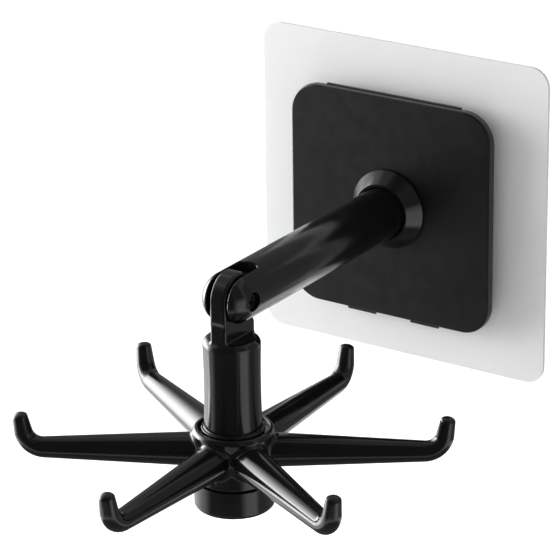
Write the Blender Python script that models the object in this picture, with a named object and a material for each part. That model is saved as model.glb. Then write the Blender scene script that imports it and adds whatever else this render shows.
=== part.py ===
"""Rotating utensil hook: an adhesive wall plate, a folding arm and a hub with six hooks.

All sizes are in metres and +Z is up. The origin is the centre of the adhesive's back
face. The wall is the plane y = 0, and the hook stands out from it towards -Y.

Four groups of pieces move against each other. The wall group stays still, the arm
swivels in it about Y, the stem folds on the elbow pin about X, and the hub spins on
the stem about Z.
"""

import math

import bmesh
import bpy
from mathutils import Vector

# Clearances and cutting
SEAT_GAP = 0.0003
OVERRUN = 0.002
MERGE_DISTANCE = 0.0000005

# Adhesive sheet
SHEET_SIDE = 0.100
SHEET_CORNER = 0.006
GUM_THICKNESS = 0.0003
FILM_THICKNESS = 0.0005

# Front plate: a shallow square shell, measured out from the wall
PLATE_SIDE = 0.0702
PLATE_CORNER = 0.0095
PLATE_REAR = 0.0062
PLATE_FRONT = 0.0087
PLATE_WALL = 0.0032
PLATE_FACE = 0.0016
PLATE_EDGE_ROUND = 0.0006

# Back plate and the latches that hold the front plate on it
LIP_WIDTH = 0.047
LIP_PROUD = 0.0003
BARB_WIDTH = 0.0098
BARB_SPACING = 0.0225
BARB_PROUD = 0.0017
BARB_NOSE = 0.0004
LATCH_THICKNESS = 0.0010
LATCH_BEHIND_FACE = 0.0006
LATCH_ROOT = 0.0010

# Collar: a conical ring round the root of the arm
COLLAR_RIM_WIDTH = 0.00085
COLLAR_TAPER_WIDTH = 0.0033
COLLAR_LAND = 0.0004
COLLAR_HEIGHT = 0.0046

# Arm: a round bar with a domed clevis at its outer end
ARM_RADIUS = 0.00795
ARM_ROOT_CHAMFER = 0.0004
NOSE_LENGTH = 0.0085
PIN_REACH = 0.0931
ARM_SHOULDER_WIDTH = 0.00245
FRICTION_RING_THICKNESS = 0.0006
ARM_WASHER_OVERLAP = 0.0025
ARM_WASHER_THICKNESS = 0.0008
ARM_SCREW_HEAD_RADIUS = 0.0036
ARM_SCREW_HEAD_HEIGHT = 0.0020
ARM_SCREW_RADIUS = 0.0019
ARM_SCREW_LENGTH = 0.0120
PILOT_TIP_ROOM = 0.0015

# Elbow: slot, tongue, shoulder screw, nut and two thin washers
STEM_LEAD = 0.0005
TONGUE_THICKNESS = 0.0054
TONGUE_RADIUS = 0.0076
TONGUE_FOOT_DROP = 0.0168
ELBOW_WASHER_THICKNESS = 0.0003
ELBOW_WASHER_RADIUS = 0.0052
SLOT_FLOOR_SETBACK = 0.0086
SLOT_CORNER = 0.0016
DETENT_RADIUS = 0.0022
DETENT_DROP = 0.0070
DETENT_BITE = 0.0007
PIN_RADIUS = 0.00175
PIN_HEAD_RADIUS = 0.0024
PIN_HEAD_HEIGHT = 0.0014
PIN_HEAD_SUNK = 0.0012
NUT_ACROSS_CORNERS = 0.0058
NUT_HEIGHT = 0.0018
NUT_SUNK = 0.0012

# Stem: the round column under the tongue, measured down from the elbow pin
STEM_SHOULDER_DROP = 0.0119
STEM_SHOULDER_ROUND = 0.0021
STEM_TOP_RADIUS = 0.00835
STEM_WAIST_RADIUS = 0.00815
STEM_WAIST_DROP = 0.0270
STEM_FOOT_RADIUS = 0.00845
STEM_FLANGE_RADIUS = 0.0093
STEM_FLANGE_HEIGHT = 0.0008
SPINDLE_RADIUS = 0.0040

# Hub: the round core that carries the six hooks, measured down from its top rim
HUB_TOP_DROP = 0.0397
HUB_RIM_RADIUS = 0.0113
HUB_FLARE_RADIUS = 0.0119
HUB_FLARE_DROP = 0.0012
HUB_RADIUS = 0.0110
HUB_TAPER_DROP = 0.0066
HUB_HEIGHT = 0.0161
HUB_RIM_WIDTH = 0.0010
HUB_RIM_ROUND = 0.0005
HUB_RECESS_DEPTH = 0.0018
THRUST_WASHER_THICKNESS = 0.0005
THRUST_WASHER_RADIUS = 0.0084
HUB_SPIGOT_LENGTH = 0.0025
HUB_COUNTERBORE_RADIUS = 0.0068
HUB_COUNTERBORE_DEPTH = 0.0037
HUB_WASHER_RADIUS = 0.0063
HUB_WASHER_THICKNESS = 0.0008
HUB_SCREW_HEAD_RADIUS = 0.0033
HUB_SCREW_HEAD_HEIGHT = 0.0020
HUB_SCREW_RADIUS = 0.0017
HUB_SCREW_LENGTH = 0.0100

# Bottom cap: a cup pressed over the hub's lower spigot
CAP_RADIUS = 0.0117
CAP_HEIGHT = 0.0082
CAP_WALL = 0.0020
CAP_FLOOR = 0.0020
CAP_EDGE_ROUND = 0.0012

# Hooks: tapered arms that end in upturned tips
HOOK_COUNT = 6
HOOK_FIRST_ANGLE = math.radians(-89.6)
HOOK_CENTRE_DROP = 0.0073
HOOK_START_RADIUS = 0.0065
HOOK_ROOT_WIDTH = 0.0110
HOOK_ROOT_HEIGHT = 0.0099
HOOK_BEND_WIDTH = 0.0063
HOOK_BEND_HEIGHT = 0.0062
HOOK_BEND_RADIUS = 0.0060
HOOK_LEAN = math.radians(10.0)
HOOK_NECK_WIDTH = 0.0054
HOOK_NECK_THICKNESS = 0.0053
HOOK_TIP_WIDTH = 0.0046
HOOK_TIP_THICKNESS = 0.0044
HOOK_TIP_DOME = 0.0012
HOOK_TIP_RADIUS = 0.0617
HOOK_TIP_RISE = 0.0034

# Facet counts
TURNED_STEPS = 36
SMALL_STEPS = 20
CORNER_STEPS = 6
ROUND_STEPS = 3
NOSE_STEPS = 18
DOME_STEPS = 8
HOOK_SIDES = 16
HOOK_BEND_STEPS = 7
HEX_SIDES = 6
SHARP_ANGLE = math.radians(35.0)

# Colour, roughness and metallic value of each finish
BLACK_PLASTIC = ((0.012, 0.012, 0.014, 1.0), 0.16, 0.0)
FROSTED_FILM = ((0.86, 0.87, 0.88, 1.0), 0.38, 0.0)
CLEAR_GUM = ((0.80, 0.82, 0.83, 1.0), 0.30, 0.0)
BLACK_NYLON = ((0.020, 0.020, 0.020, 1.0), 0.55, 0.0)
BRIGHT_STEEL = ((0.58, 0.58, 0.56, 1.0), 0.28, 1.0)
DARK_STEEL = ((0.10, 0.10, 0.11, 1.0), 0.32, 1.0)


def clear_scene():
    """Removes every object, so that the model starts from an empty scene."""
    for old_object in list(bpy.data.objects):
        bpy.data.objects.remove(old_object, do_unlink=True)


def new_frame(name, parent, location, rotation):
    """Adds an empty that carries pieces and marks a joint's axis."""
    frame = bpy.data.objects.new(name, None)
    bpy.context.scene.collection.objects.link(frame)
    frame.parent = parent
    frame.location = location
    frame.rotation_euler = rotation
    return frame


def new_material(name, finish):
    """Makes one Principled material from a finish."""
    colour, roughness, metallic = finish
    material = bpy.data.materials.new(name)
    material.use_nodes = True
    shader = material.node_tree.nodes["Principled BSDF"]
    shader.inputs["Base Color"].default_value = colour
    shader.inputs["Roughness"].default_value = roughness
    shader.inputs["Metallic"].default_value = metallic
    return material


def new_piece(name, shape, parent, finish, location=(0, 0, 0)):
    """Turns a shape into a named object with a material of its own."""
    mesh = bpy.data.meshes.new(name)
    shape.to_mesh(mesh)
    shape.free()
    mesh.shade_smooth()
    mesh.set_sharp_from_angle(angle=SHARP_ANGLE)
    piece = bpy.data.objects.new(name, mesh)
    bpy.context.scene.collection.objects.link(piece)
    piece.parent = parent
    piece.location = location
    if finish is not None:
        mesh.materials.append(new_material(name + "_finish", finish))
    return piece


def combine(target, shape, operation, label):
    """Joins a helper shape to a piece, or cuts or crops the piece with it."""
    helper = new_piece(target.name + "_" + label, shape, target.parent, None, target.location)
    helper.hide_render = True
    helper.display_type = "WIRE"
    modifier = target.modifiers.new(label, "BOOLEAN")
    modifier.operation = operation
    modifier.object = helper


def finish_shape(shape):
    """Merges doubled points and turns all faces outwards."""
    bmesh.ops.remove_doubles(shape, verts=shape.verts, dist=MERGE_DISTANCE)
    bmesh.ops.recalc_face_normals(shape, faces=shape.faces)
    return shape


def turned(profile, steps=TURNED_STEPS, ring=False):
    """Spins a profile of (radius, height) points about local Z.

    A ring's profile closes on itself, and a solid's starts and ends on the axis.
    """
    shape = bmesh.new()
    corners = [shape.verts.new((radius, 0, height)) for radius, height in profile]
    edges = [shape.edges.new(pair) for pair in zip(corners, corners[1:])]
    if ring:
        edges.append(shape.edges.new((corners[-1], corners[0])))
    bmesh.ops.spin(
        shape,
        geom=corners + edges,
        cent=(0, 0, 0),
        axis=(0, 0, 1),
        angle=math.tau,
        steps=steps,
        use_merge=True,
    )
    return finish_shape(shape)


def rod(radius, low, high, steps=SMALL_STEPS):
    """A plain round bar along local Z."""
    return turned([(0, low), (radius, low), (radius, high), (0, high)], steps)


def flat_ring(inner, outer, low, high, steps=TURNED_STEPS):
    """A washer about local Z."""
    profile = [(inner, low), (outer, low), (outer, high), (inner, high)]
    return turned(profile, steps, ring=True)


def loft(loops):
    """Skins a row of point loops and caps both ends."""
    shape = bmesh.new()
    rings = [[shape.verts.new(point) for point in loop] for loop in loops]
    for lower, upper in zip(rings, rings[1:]):
        for index in range(len(lower)):
            after = (index + 1) % len(lower)
            shape.faces.new((lower[index], lower[after], upper[after], upper[index]))
    shape.faces.new(rings[0])
    shape.faces.new(rings[-1])
    return finish_shape(shape)


def arc(centre, radius, start, end, steps):
    """Points along an arc, both ends included."""
    points = []
    for index in range(steps + 1):
        angle = start + (end - start) * index / steps
        points.append((centre[0] + radius * math.cos(angle), centre[1] + radius * math.sin(angle)))
    return points


def rounded_rectangle(width, height, radius):
    """The outline of a rectangle with round corners, centred on the origin."""
    across = width / 2 - radius
    along = height / 2 - radius
    quarter = math.pi / 2
    outline = []
    for corner, (side, end) in enumerate([(1, 1), (-1, 1), (-1, -1), (1, -1)]):
        centre = (side * across, end * along)
        outline += arc(centre, radius, corner * quarter, (corner + 1) * quarter, CORNER_STEPS)
    return outline


def slab(width, height, radius, low, high):
    """A plate with round corners that lies across local Z."""
    outline = rounded_rectangle(width, height, radius)
    return loft([[(x, y, level) for x, y in outline] for level in (low, high)])


def block(low, high):
    """A box between two opposite corners."""
    outline = [(low[0], low[1]), (high[0], low[1]), (high[0], high[1]), (low[0], high[1])]
    return loft([[(x, y, level) for x, y in outline] for level in (low[2], high[2])])


def crossways(outline, low, high):
    """A prism along local X, whose outline gives local Y and Z."""
    return loft([[(side, y, z) for y, z in outline] for side in (low, high)])


def crossways_rod(radius, low, high, centre, steps=SMALL_STEPS):
    """A round bar along local X, whose centre gives local Y and Z."""
    outline = arc(centre, radius, 0.0, math.tau * (1 - 1 / steps), steps - 1)
    return crossways(outline, low, high)


def latch_front():
    """Distance from the wall to the front of the latches."""
    return PLATE_FRONT - PLATE_FACE - LATCH_BEHIND_FACE


def back_plate_side():
    """Width of the back plate, which fits inside the front plate's walls."""
    return PLATE_SIDE - 2 * PLATE_WALL - 2 * SEAT_GAP


def spigot_radius():
    """Radius of the arm's spigot, which leaves a shoulder all round."""
    return ARM_RADIUS - ARM_SHOULDER_WIDTH


def spigot_end():
    """Distance from the wall to the end of the arm's spigot."""
    return PLATE_FRONT - PLATE_FACE


def arm_washer_radius():
    """Radius of the arm's washer, which reaches past the spigot all round."""
    return spigot_radius() + ARM_WASHER_OVERLAP


def arm_washer_rear():
    """Distance from the wall to the back of the arm's washer."""
    return spigot_end() - SEAT_GAP - ARM_WASHER_THICKNESS


def arm_screw_rear():
    """Distance from the wall to the back of the arm screw's head."""
    return arm_washer_rear() - SEAT_GAP - ARM_SCREW_HEAD_HEIGHT


def collar_rear():
    """Distance from the wall to the back of the collar."""
    return PLATE_FRONT + SEAT_GAP


def arm_shoulder():
    """Distance from the wall to the arm's shoulder, which bears on the friction ring."""
    return collar_rear() + FRICTION_RING_THICKNESS + SEAT_GAP


def slot_half_width():
    """Half the clevis slot: half the tongue, one washer and the gaps beside it."""
    return TONGUE_THICKNESS / 2 + ELBOW_WASHER_THICKNESS + 2 * SEAT_GAP


def stem_foot_drop():
    """Drop from the elbow pin to the stem's foot, which bears on the thrust washer."""
    recess_floor = HUB_TOP_DROP + HUB_RECESS_DEPTH
    return recess_floor - THRUST_WASHER_THICKNESS - 2 * SEAT_GAP


def counterbore_ceiling():
    """Height of the hub's counterbore ceiling from the hub's top rim."""
    return -HUB_HEIGHT - HUB_SPIGOT_LENGTH + HUB_COUNTERBORE_DEPTH


def spindle_bore_radius():
    """Bore of the pieces that turn on the spindle."""
    return SPINDLE_RADIUS + SEAT_GAP


def hub_washer_foot():
    """Height of the underside of the hub's washer from the hub's top rim."""
    return counterbore_ceiling() - SEAT_GAP - HUB_WASHER_THICKNESS


def cap_top():
    """Height of the bottom cap's rim from the hub's top rim."""
    return -HUB_HEIGHT - SEAT_GAP


def make_sheet(wall_frame):
    """The adhesive layer on the wall and the frosted film that carries it."""
    gum = slab(SHEET_SIDE, SHEET_SIDE, SHEET_CORNER, 0, GUM_THICKNESS)
    new_piece("adhesive_layer", gum, wall_frame, CLEAR_GUM)
    film_rear = GUM_THICKNESS + SEAT_GAP
    film = slab(SHEET_SIDE, SHEET_SIDE, SHEET_CORNER, film_rear, film_rear + FILM_THICKNESS)
    new_piece("mounting_film", film, wall_frame, FROSTED_FILM)


def latch_outline(edge, tip, direction, nose):
    """Side view of a latch that runs from inside the back plate's edge to its tip."""
    root = edge - direction * LATCH_ROOT
    front = latch_front()
    rear = front - LATCH_THICKNESS
    return [(root, rear), (tip, rear), (tip, front - nose), (tip - direction * nose, front), (root, front)]


def barb_centres():
    """Sideways places of the two barbs."""
    return [-BARB_SPACING / 2, BARB_SPACING / 2]


def make_back_plate(wall_frame):
    """The plate bonded to the film, with a lip above and two barbs below."""
    side = back_plate_side()
    rear = GUM_THICKNESS + FILM_THICKNESS + 2 * SEAT_GAP
    front = PLATE_FRONT - PLATE_FACE - SEAT_GAP
    corner = PLATE_CORNER - PLATE_WALL - SEAT_GAP
    plate = new_piece("back_plate", slab(side, side, corner, rear, front), wall_frame, BLACK_PLASTIC)
    lip = latch_outline(side / 2, PLATE_SIDE / 2 + LIP_PROUD, 1, LIP_PROUD)
    combine(plate, crossways(lip, -LIP_WIDTH / 2, LIP_WIDTH / 2), "UNION", "lip")
    barb = latch_outline(-side / 2, -PLATE_SIDE / 2 - BARB_PROUD, -1, BARB_NOSE)
    for number, centre in enumerate(barb_centres()):
        shape = crossways(barb, centre - BARB_WIDTH / 2, centre + BARB_WIDTH / 2)
        combine(plate, shape, "UNION", "barb_" + str(number))
    pocket_floor = arm_screw_rear() - SEAT_GAP
    pocket = rod(arm_washer_radius() + 2 * SEAT_GAP, pocket_floor, front + OVERRUN, TURNED_STEPS)
    combine(plate, pocket, "DIFFERENCE", "pocket")


def plate_shell():
    """The front plate's outer block, with its front edge rounded."""
    loops = []
    outline = rounded_rectangle(PLATE_SIDE, PLATE_SIDE, PLATE_CORNER)
    loops.append([(x, y, PLATE_REAR) for x, y in outline])
    for index in range(ROUND_STEPS + 1):
        angle = math.pi / 2 * index / ROUND_STEPS
        inset = PLATE_EDGE_ROUND * (1 - math.cos(angle))
        level = PLATE_FRONT - PLATE_EDGE_ROUND * (1 - math.sin(angle))
        side = PLATE_SIDE - 2 * inset
        outline = rounded_rectangle(side, side, PLATE_CORNER - inset)
        loops.append([(x, y, level) for x, y in outline])
    return loft(loops)


def latch_window(low, high, inner, outer):
    """A window through the front plate's wall for one latch."""
    rear = latch_front() - LATCH_THICKNESS - SEAT_GAP
    front = latch_front() + SEAT_GAP
    return block((low - SEAT_GAP, inner, rear), (high + SEAT_GAP, outer, front))


def make_front_plate(wall_frame):
    """The square black shell that covers the back plate."""
    plate = new_piece("front_plate", plate_shell(), wall_frame, BLACK_PLASTIC)
    hollow_side = PLATE_SIDE - 2 * PLATE_WALL
    hollow_corner = PLATE_CORNER - PLATE_WALL
    hollow_top = PLATE_FRONT - PLATE_FACE
    hollow = slab(hollow_side, hollow_side, hollow_corner, PLATE_REAR - OVERRUN, hollow_top)
    combine(plate, hollow, "DIFFERENCE", "hollow")
    hole = rod(spigot_radius() + SEAT_GAP, hollow_top - OVERRUN, PLATE_FRONT + OVERRUN, TURNED_STEPS)
    combine(plate, hole, "DIFFERENCE", "arm_hole")
    inner = PLATE_SIDE / 2 - PLATE_WALL - LATCH_ROOT
    outer = PLATE_SIDE / 2 + OVERRUN
    window = latch_window(-LIP_WIDTH / 2, LIP_WIDTH / 2, inner, outer)
    combine(plate, window, "DIFFERENCE", "lip_window")
    for number, centre in enumerate(barb_centres()):
        window = latch_window(centre - BARB_WIDTH / 2, centre + BARB_WIDTH / 2, -outer, -inner)
        combine(plate, window, "DIFFERENCE", "barb_window_" + str(number))


def make_collar(wall_frame):
    """The conical ring that trims the root of the arm, with a short land at the plate."""
    bore = ARM_RADIUS + SEAT_GAP
    top_radius = bore + COLLAR_RIM_WIDTH
    base_radius = top_radius + COLLAR_TAPER_WIDTH
    rear = collar_rear()
    front = rear + COLLAR_HEIGHT
    profile = [
        (bore, rear),
        (base_radius, rear),
        (base_radius, rear + COLLAR_LAND),
        (top_radius, front),
        (bore, front),
    ]
    new_piece("arm_collar", turned(profile, ring=True), wall_frame, BLACK_PLASTIC)


def make_arm(arm_frame):
    """The round arm, with a spigot at the wall and a domed clevis at the elbow."""
    shoulder = arm_shoulder()
    profile = [
        (0, spigot_end()),
        (spigot_radius(), spigot_end()),
        (spigot_radius(), shoulder),
        (ARM_RADIUS - ARM_ROOT_CHAMFER, shoulder),
        (ARM_RADIUS, shoulder + ARM_ROOT_CHAMFER),
    ]
    for radius, rise in arc((0, 0), 1, 0.0, math.pi / 2, DOME_STEPS):
        profile.append((ARM_RADIUS * radius, nose_reach() + NOSE_LENGTH * rise))
    arm = new_piece("arm", turned(profile), arm_frame, BLACK_PLASTIC)
    combine(arm, clevis_slot(), "DIFFERENCE", "slot")
    side = ARM_RADIUS + OVERRUN
    centre = (0, PIN_REACH)
    bore = crossways_rod(PIN_RADIUS + SEAT_GAP, -side, side, centre)
    combine(arm, bore, "DIFFERENCE", "pin_bore")
    head_seat = pin_head_inner() - SEAT_GAP
    head_pocket = crossways_rod(PIN_HEAD_RADIUS + SEAT_GAP, head_seat, side, centre)
    combine(arm, head_pocket, "DIFFERENCE", "head_pocket")
    nut_seat = nut_inner() + SEAT_GAP
    pocket_radius = NUT_ACROSS_CORNERS / 2 + 2 * SEAT_GAP
    nut_pocket = crossways_rod(pocket_radius, -side, nut_seat, centre, HEX_SIDES)
    combine(arm, nut_pocket, "DIFFERENCE", "nut_pocket")
    pilot_end = arm_washer_rear() - SEAT_GAP + ARM_SCREW_LENGTH + PILOT_TIP_ROOM
    pilot = rod(ARM_SCREW_RADIUS + SEAT_GAP, spigot_end() - OVERRUN, pilot_end)
    combine(arm, pilot, "DIFFERENCE", "pilot")


def nose_reach():
    """Distance from the wall to the centre of the arm's domed end, above the stem."""
    return PIN_REACH + STEM_LEAD


def clevis_slot():
    """The slot between the ears, with round corners at its closed end."""
    floor = PIN_REACH - SLOT_FLOOR_SETBACK
    mouth = nose_reach() + NOSE_LENGTH + SLOT_CORNER + OVERRUN
    outline = rounded_rectangle(2 * slot_half_width(), mouth - floor, SLOT_CORNER)
    middle = (mouth + floor) / 2
    edge = ARM_RADIUS + OVERRUN
    return loft([[(x, level, middle + z) for x, z in outline] for level in (-edge, edge)])


def pin_head_inner():
    """Sideways place of the elbow screw head's inner face."""
    return ARM_RADIUS - PIN_HEAD_SUNK - PIN_HEAD_HEIGHT


def nut_inner():
    """Sideways place of the elbow nut's inner face."""
    return -ARM_RADIUS + NUT_SUNK + NUT_HEIGHT


def make_arm_fixings(arm_frame):
    """The ring, washer and screw that hold the arm in the front plate."""
    inner = spigot_radius() + SEAT_GAP
    outer = ARM_RADIUS - SEAT_GAP
    rear = collar_rear()
    ring = flat_ring(inner, outer, rear, rear + FRICTION_RING_THICKNESS)
    new_piece("arm_friction_ring", ring, arm_frame, BLACK_NYLON)
    washer_rear = arm_washer_rear()
    bore = ARM_SCREW_RADIUS + SEAT_GAP
    washer = flat_ring(bore, arm_washer_radius(), washer_rear, washer_rear + ARM_WASHER_THICKNESS)
    new_piece("arm_washer", washer, arm_frame, BRIGHT_STEEL)
    head_front = washer_rear - SEAT_GAP
    screw = turned(
        [
            (0, arm_screw_rear()),
            (ARM_SCREW_HEAD_RADIUS, arm_screw_rear()),
            (ARM_SCREW_HEAD_RADIUS, head_front),
            (ARM_SCREW_RADIUS, head_front),
            (ARM_SCREW_RADIUS, head_front + ARM_SCREW_LENGTH),
            (0, head_front + ARM_SCREW_LENGTH),
        ],
        SMALL_STEPS,
    )
    new_piece("arm_screw", screw, arm_frame, BRIGHT_STEEL)


def make_elbow_pin(pin_frame):
    """The shoulder screw through the elbow, its nut and the two thin washers."""
    head_inner = pin_head_inner()
    head_outer = head_inner + PIN_HEAD_HEIGHT
    far_end = -ARM_RADIUS + NUT_SUNK
    screw = turned(
        [
            (0, far_end),
            (PIN_RADIUS, far_end),
            (PIN_RADIUS, head_inner),
            (PIN_HEAD_RADIUS, head_inner),
            (PIN_HEAD_RADIUS, head_outer),
            (0, head_outer),
        ],
        SMALL_STEPS,
    )
    new_piece("elbow_screw", screw, pin_frame, DARK_STEEL)
    bore = PIN_RADIUS + SEAT_GAP
    hexagon = rod(NUT_ACROSS_CORNERS / 2, far_end, nut_inner(), HEX_SIDES)
    nut = new_piece("elbow_nut", hexagon, pin_frame, BRIGHT_STEEL)
    combine(nut, rod(bore, far_end - OVERRUN, nut_inner() + OVERRUN), "DIFFERENCE", "thread_bore")
    inner_face = TONGUE_THICKNESS / 2 + SEAT_GAP
    for name, side in (("elbow_washer_near", 1), ("elbow_washer_far", -1)):
        faces = sorted((side * inner_face, side * (inner_face + ELBOW_WASHER_THICKNESS)))
        washer = flat_ring(bore, ELBOW_WASHER_RADIUS, faces[0], faces[1], SMALL_STEPS)
        new_piece(name, washer, pin_frame, BLACK_NYLON)


def stem_profile():
    """Side view of the stem's round column, from its shoulder to its spindle's end."""
    round_start = -STEM_SHOULDER_DROP - STEM_SHOULDER_ROUND
    centre = (STEM_TOP_RADIUS - STEM_SHOULDER_ROUND, round_start)
    foot = -stem_foot_drop()
    spindle_foot = counterbore_ceiling() - HUB_TOP_DROP
    profile = [(0, -STEM_SHOULDER_DROP)]
    profile += arc(centre, STEM_SHOULDER_ROUND, math.pi / 2, 0.0, ROUND_STEPS)
    profile += [
        (STEM_WAIST_RADIUS, -STEM_WAIST_DROP),
        (STEM_FOOT_RADIUS, foot + STEM_FLANGE_HEIGHT),
        (STEM_FLANGE_RADIUS, foot + STEM_FLANGE_HEIGHT),
        (STEM_FLANGE_RADIUS, foot),
        (SPINDLE_RADIUS, foot),
        (SPINDLE_RADIUS, spindle_foot),
        (0, spindle_foot),
    ]
    return profile


def tongue():
    """The flat tongue that swings between the ears."""
    outline = arc((0, 0), TONGUE_RADIUS, 0.0, math.pi, NOSE_STEPS)
    outline += [(-TONGUE_RADIUS, -TONGUE_FOOT_DROP), (TONGUE_RADIUS, -TONGUE_FOOT_DROP)]
    return crossways(outline, -TONGUE_THICKNESS / 2, TONGUE_THICKNESS / 2)


def make_stem(stem_frame):
    """The stem: a tongue above, a round column below and a spindle for the hub.

    Its own axis stands a little in front of the elbow pin.
    """
    column = turned(stem_profile())
    stem = new_piece("stem", column, stem_frame, BLACK_PLASTIC, (0, -STEM_LEAD, 0))
    combine(stem, tongue(), "UNION", "tongue")
    reach = TONGUE_THICKNESS / 2 + OVERRUN
    bore = crossways_rod(PIN_RADIUS + SEAT_GAP, -reach, reach, (STEM_LEAD, 0))
    combine(stem, bore, "DIFFERENCE", "pin_bore")
    detent_offset = TONGUE_RADIUS + DETENT_RADIUS - DETENT_BITE
    for label, side in (("front_detent", -1), ("rear_detent", 1)):
        groove = crossways_rod(DETENT_RADIUS, -reach, reach, (side * detent_offset, -DETENT_DROP))
        combine(stem, groove, "DIFFERENCE", label)
    spindle_foot = counterbore_ceiling() - HUB_TOP_DROP
    pilot_end = hub_screw_head_top() - HUB_TOP_DROP + HUB_SCREW_LENGTH + PILOT_TIP_ROOM
    pilot = rod(HUB_SCREW_RADIUS + SEAT_GAP, spindle_foot - OVERRUN, pilot_end)
    combine(stem, pilot, "DIFFERENCE", "pilot")


def hub_screw_head_top():
    """Height of the top of the hub screw's head from the hub's top rim."""
    return hub_washer_foot() - SEAT_GAP


def make_hub_bearing(hub_frame):
    """The thrust washer above the hub, and the washer and screw below it."""
    floor = -HUB_RECESS_DEPTH + SEAT_GAP
    thrust = flat_ring(spindle_bore_radius(), THRUST_WASHER_RADIUS, floor, floor + THRUST_WASHER_THICKNESS)
    new_piece("hub_thrust_washer", thrust, hub_frame, BLACK_NYLON)
    foot = hub_washer_foot()
    washer = flat_ring(HUB_SCREW_RADIUS + SEAT_GAP, HUB_WASHER_RADIUS, foot, foot + HUB_WASHER_THICKNESS)
    new_piece("hub_washer", washer, hub_frame, BRIGHT_STEEL)
    head_top = hub_screw_head_top()
    head_foot = head_top - HUB_SCREW_HEAD_HEIGHT
    screw = turned(
        [
            (0, head_foot),
            (HUB_SCREW_HEAD_RADIUS, head_foot),
            (HUB_SCREW_HEAD_RADIUS, head_top),
            (HUB_SCREW_RADIUS, head_top),
            (HUB_SCREW_RADIUS, head_top + HUB_SCREW_LENGTH),
            (0, head_top + HUB_SCREW_LENGTH),
        ],
        SMALL_STEPS,
    )
    new_piece("hub_screw", screw, hub_frame, BRIGHT_STEEL)


def hub_core():
    """The turned core of the hub, with its recess, bore, counterbore and spigot."""
    rim_inner = HUB_RIM_RADIUS - HUB_RIM_WIDTH
    spigot_radius = CAP_RADIUS - CAP_WALL - SEAT_GAP
    spigot_foot = -HUB_HEIGHT - HUB_SPIGOT_LENGTH
    bore = spindle_bore_radius()
    rim_centre = (HUB_RIM_RADIUS - HUB_RIM_ROUND, -HUB_RIM_ROUND)
    profile = arc(rim_centre, HUB_RIM_ROUND, math.pi / 2, 0.0, ROUND_STEPS)
    profile += [
        (HUB_FLARE_RADIUS, -HUB_FLARE_DROP),
        (HUB_RADIUS, -HUB_TAPER_DROP),
        (HUB_RADIUS, -HUB_HEIGHT),
        (spigot_radius, -HUB_HEIGHT),
        (spigot_radius, spigot_foot),
        (HUB_COUNTERBORE_RADIUS, spigot_foot),
        (HUB_COUNTERBORE_RADIUS, counterbore_ceiling()),
        (bore, counterbore_ceiling()),
        (bore, -HUB_RECESS_DEPTH),
        (rim_inner, -HUB_RECESS_DEPTH),
        (rim_inner, 0),
    ]
    return turned(profile, ring=True)


def blend(start, end, share):
    """A value part of the way from start to end."""
    return start + (end - start) * share


def hook_stations():
    """Places along one hook, from inside the hub to the tip.

    Each is (radius, height, climb angle, width, thickness), where the climb angle is
    0 on the level arm and grows to the tip's own lean.
    """
    level = -HOOK_CENTRE_DROP
    climb = math.pi / 2 - HOOK_LEAN
    neck_height = level + HOOK_BEND_RADIUS * (1 - math.cos(climb))
    tip_run = (HOOK_TIP_RISE - neck_height) / math.sin(climb)
    bend_start = HOOK_TIP_RADIUS - tip_run * math.cos(climb) - HOOK_BEND_RADIUS * math.sin(climb)
    taper_start = HUB_RADIUS
    stations = []
    for radius in (HOOK_START_RADIUS, bend_start):
        share = (radius - taper_start) / (bend_start - taper_start)
        width = blend(HOOK_ROOT_WIDTH, HOOK_BEND_WIDTH, share)
        height = blend(HOOK_ROOT_HEIGHT, HOOK_BEND_HEIGHT, share)
        stations.append((radius, level, 0.0, width, height))
    for index in range(1, HOOK_BEND_STEPS + 1):
        share = index / HOOK_BEND_STEPS
        angle = climb * share
        radius = bend_start + HOOK_BEND_RADIUS * math.sin(angle)
        height = level + HOOK_BEND_RADIUS * (1 - math.cos(angle))
        width = blend(HOOK_BEND_WIDTH, HOOK_NECK_WIDTH, share)
        thickness = blend(HOOK_BEND_HEIGHT, HOOK_NECK_THICKNESS, share)
        stations.append((radius, height, angle, width, thickness))
    for index in range(ROUND_STEPS + 1):
        angle = math.pi / 2 * index / (ROUND_STEPS + 1)
        back = HOOK_TIP_DOME * (1 - math.sin(angle))
        radius = HOOK_TIP_RADIUS - back * math.cos(climb)
        height = HOOK_TIP_RISE - back * math.sin(climb)
        shrink = math.cos(angle)
        stations.append((radius, height, climb, HOOK_TIP_WIDTH * shrink, HOOK_TIP_THICKNESS * shrink))
    return stations


def hook_arm(direction):
    """One hook as a loft of oval sections, turned to its direction round the hub."""
    outward = Vector((math.cos(direction), math.sin(direction), 0))
    sideways = Vector((-math.sin(direction), math.cos(direction), 0))
    upward = Vector((0, 0, 1))
    loops = []
    for radius, height, climb, width, thickness in hook_stations():
        centre = outward * radius + upward * height
        normal = upward * math.cos(climb) - outward * math.sin(climb)
        loop = []
        for index in range(HOOK_SIDES):
            angle = math.tau * index / HOOK_SIDES
            across = sideways * (width / 2 * math.cos(angle))
            loop.append(centre + across + normal * (thickness / 2 * math.sin(angle)))
        loops.append(loop)
    return loft(loops)


def make_hook_hub(hub_frame):
    """The hub and its six hooks, moulded in one."""
    hub = new_piece("hook_hub", hub_core(), hub_frame, BLACK_PLASTIC)
    for number in range(HOOK_COUNT):
        direction = HOOK_FIRST_ANGLE + math.tau * number / HOOK_COUNT
        combine(hub, hook_arm(direction), "UNION", "hook_" + str(number))


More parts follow.
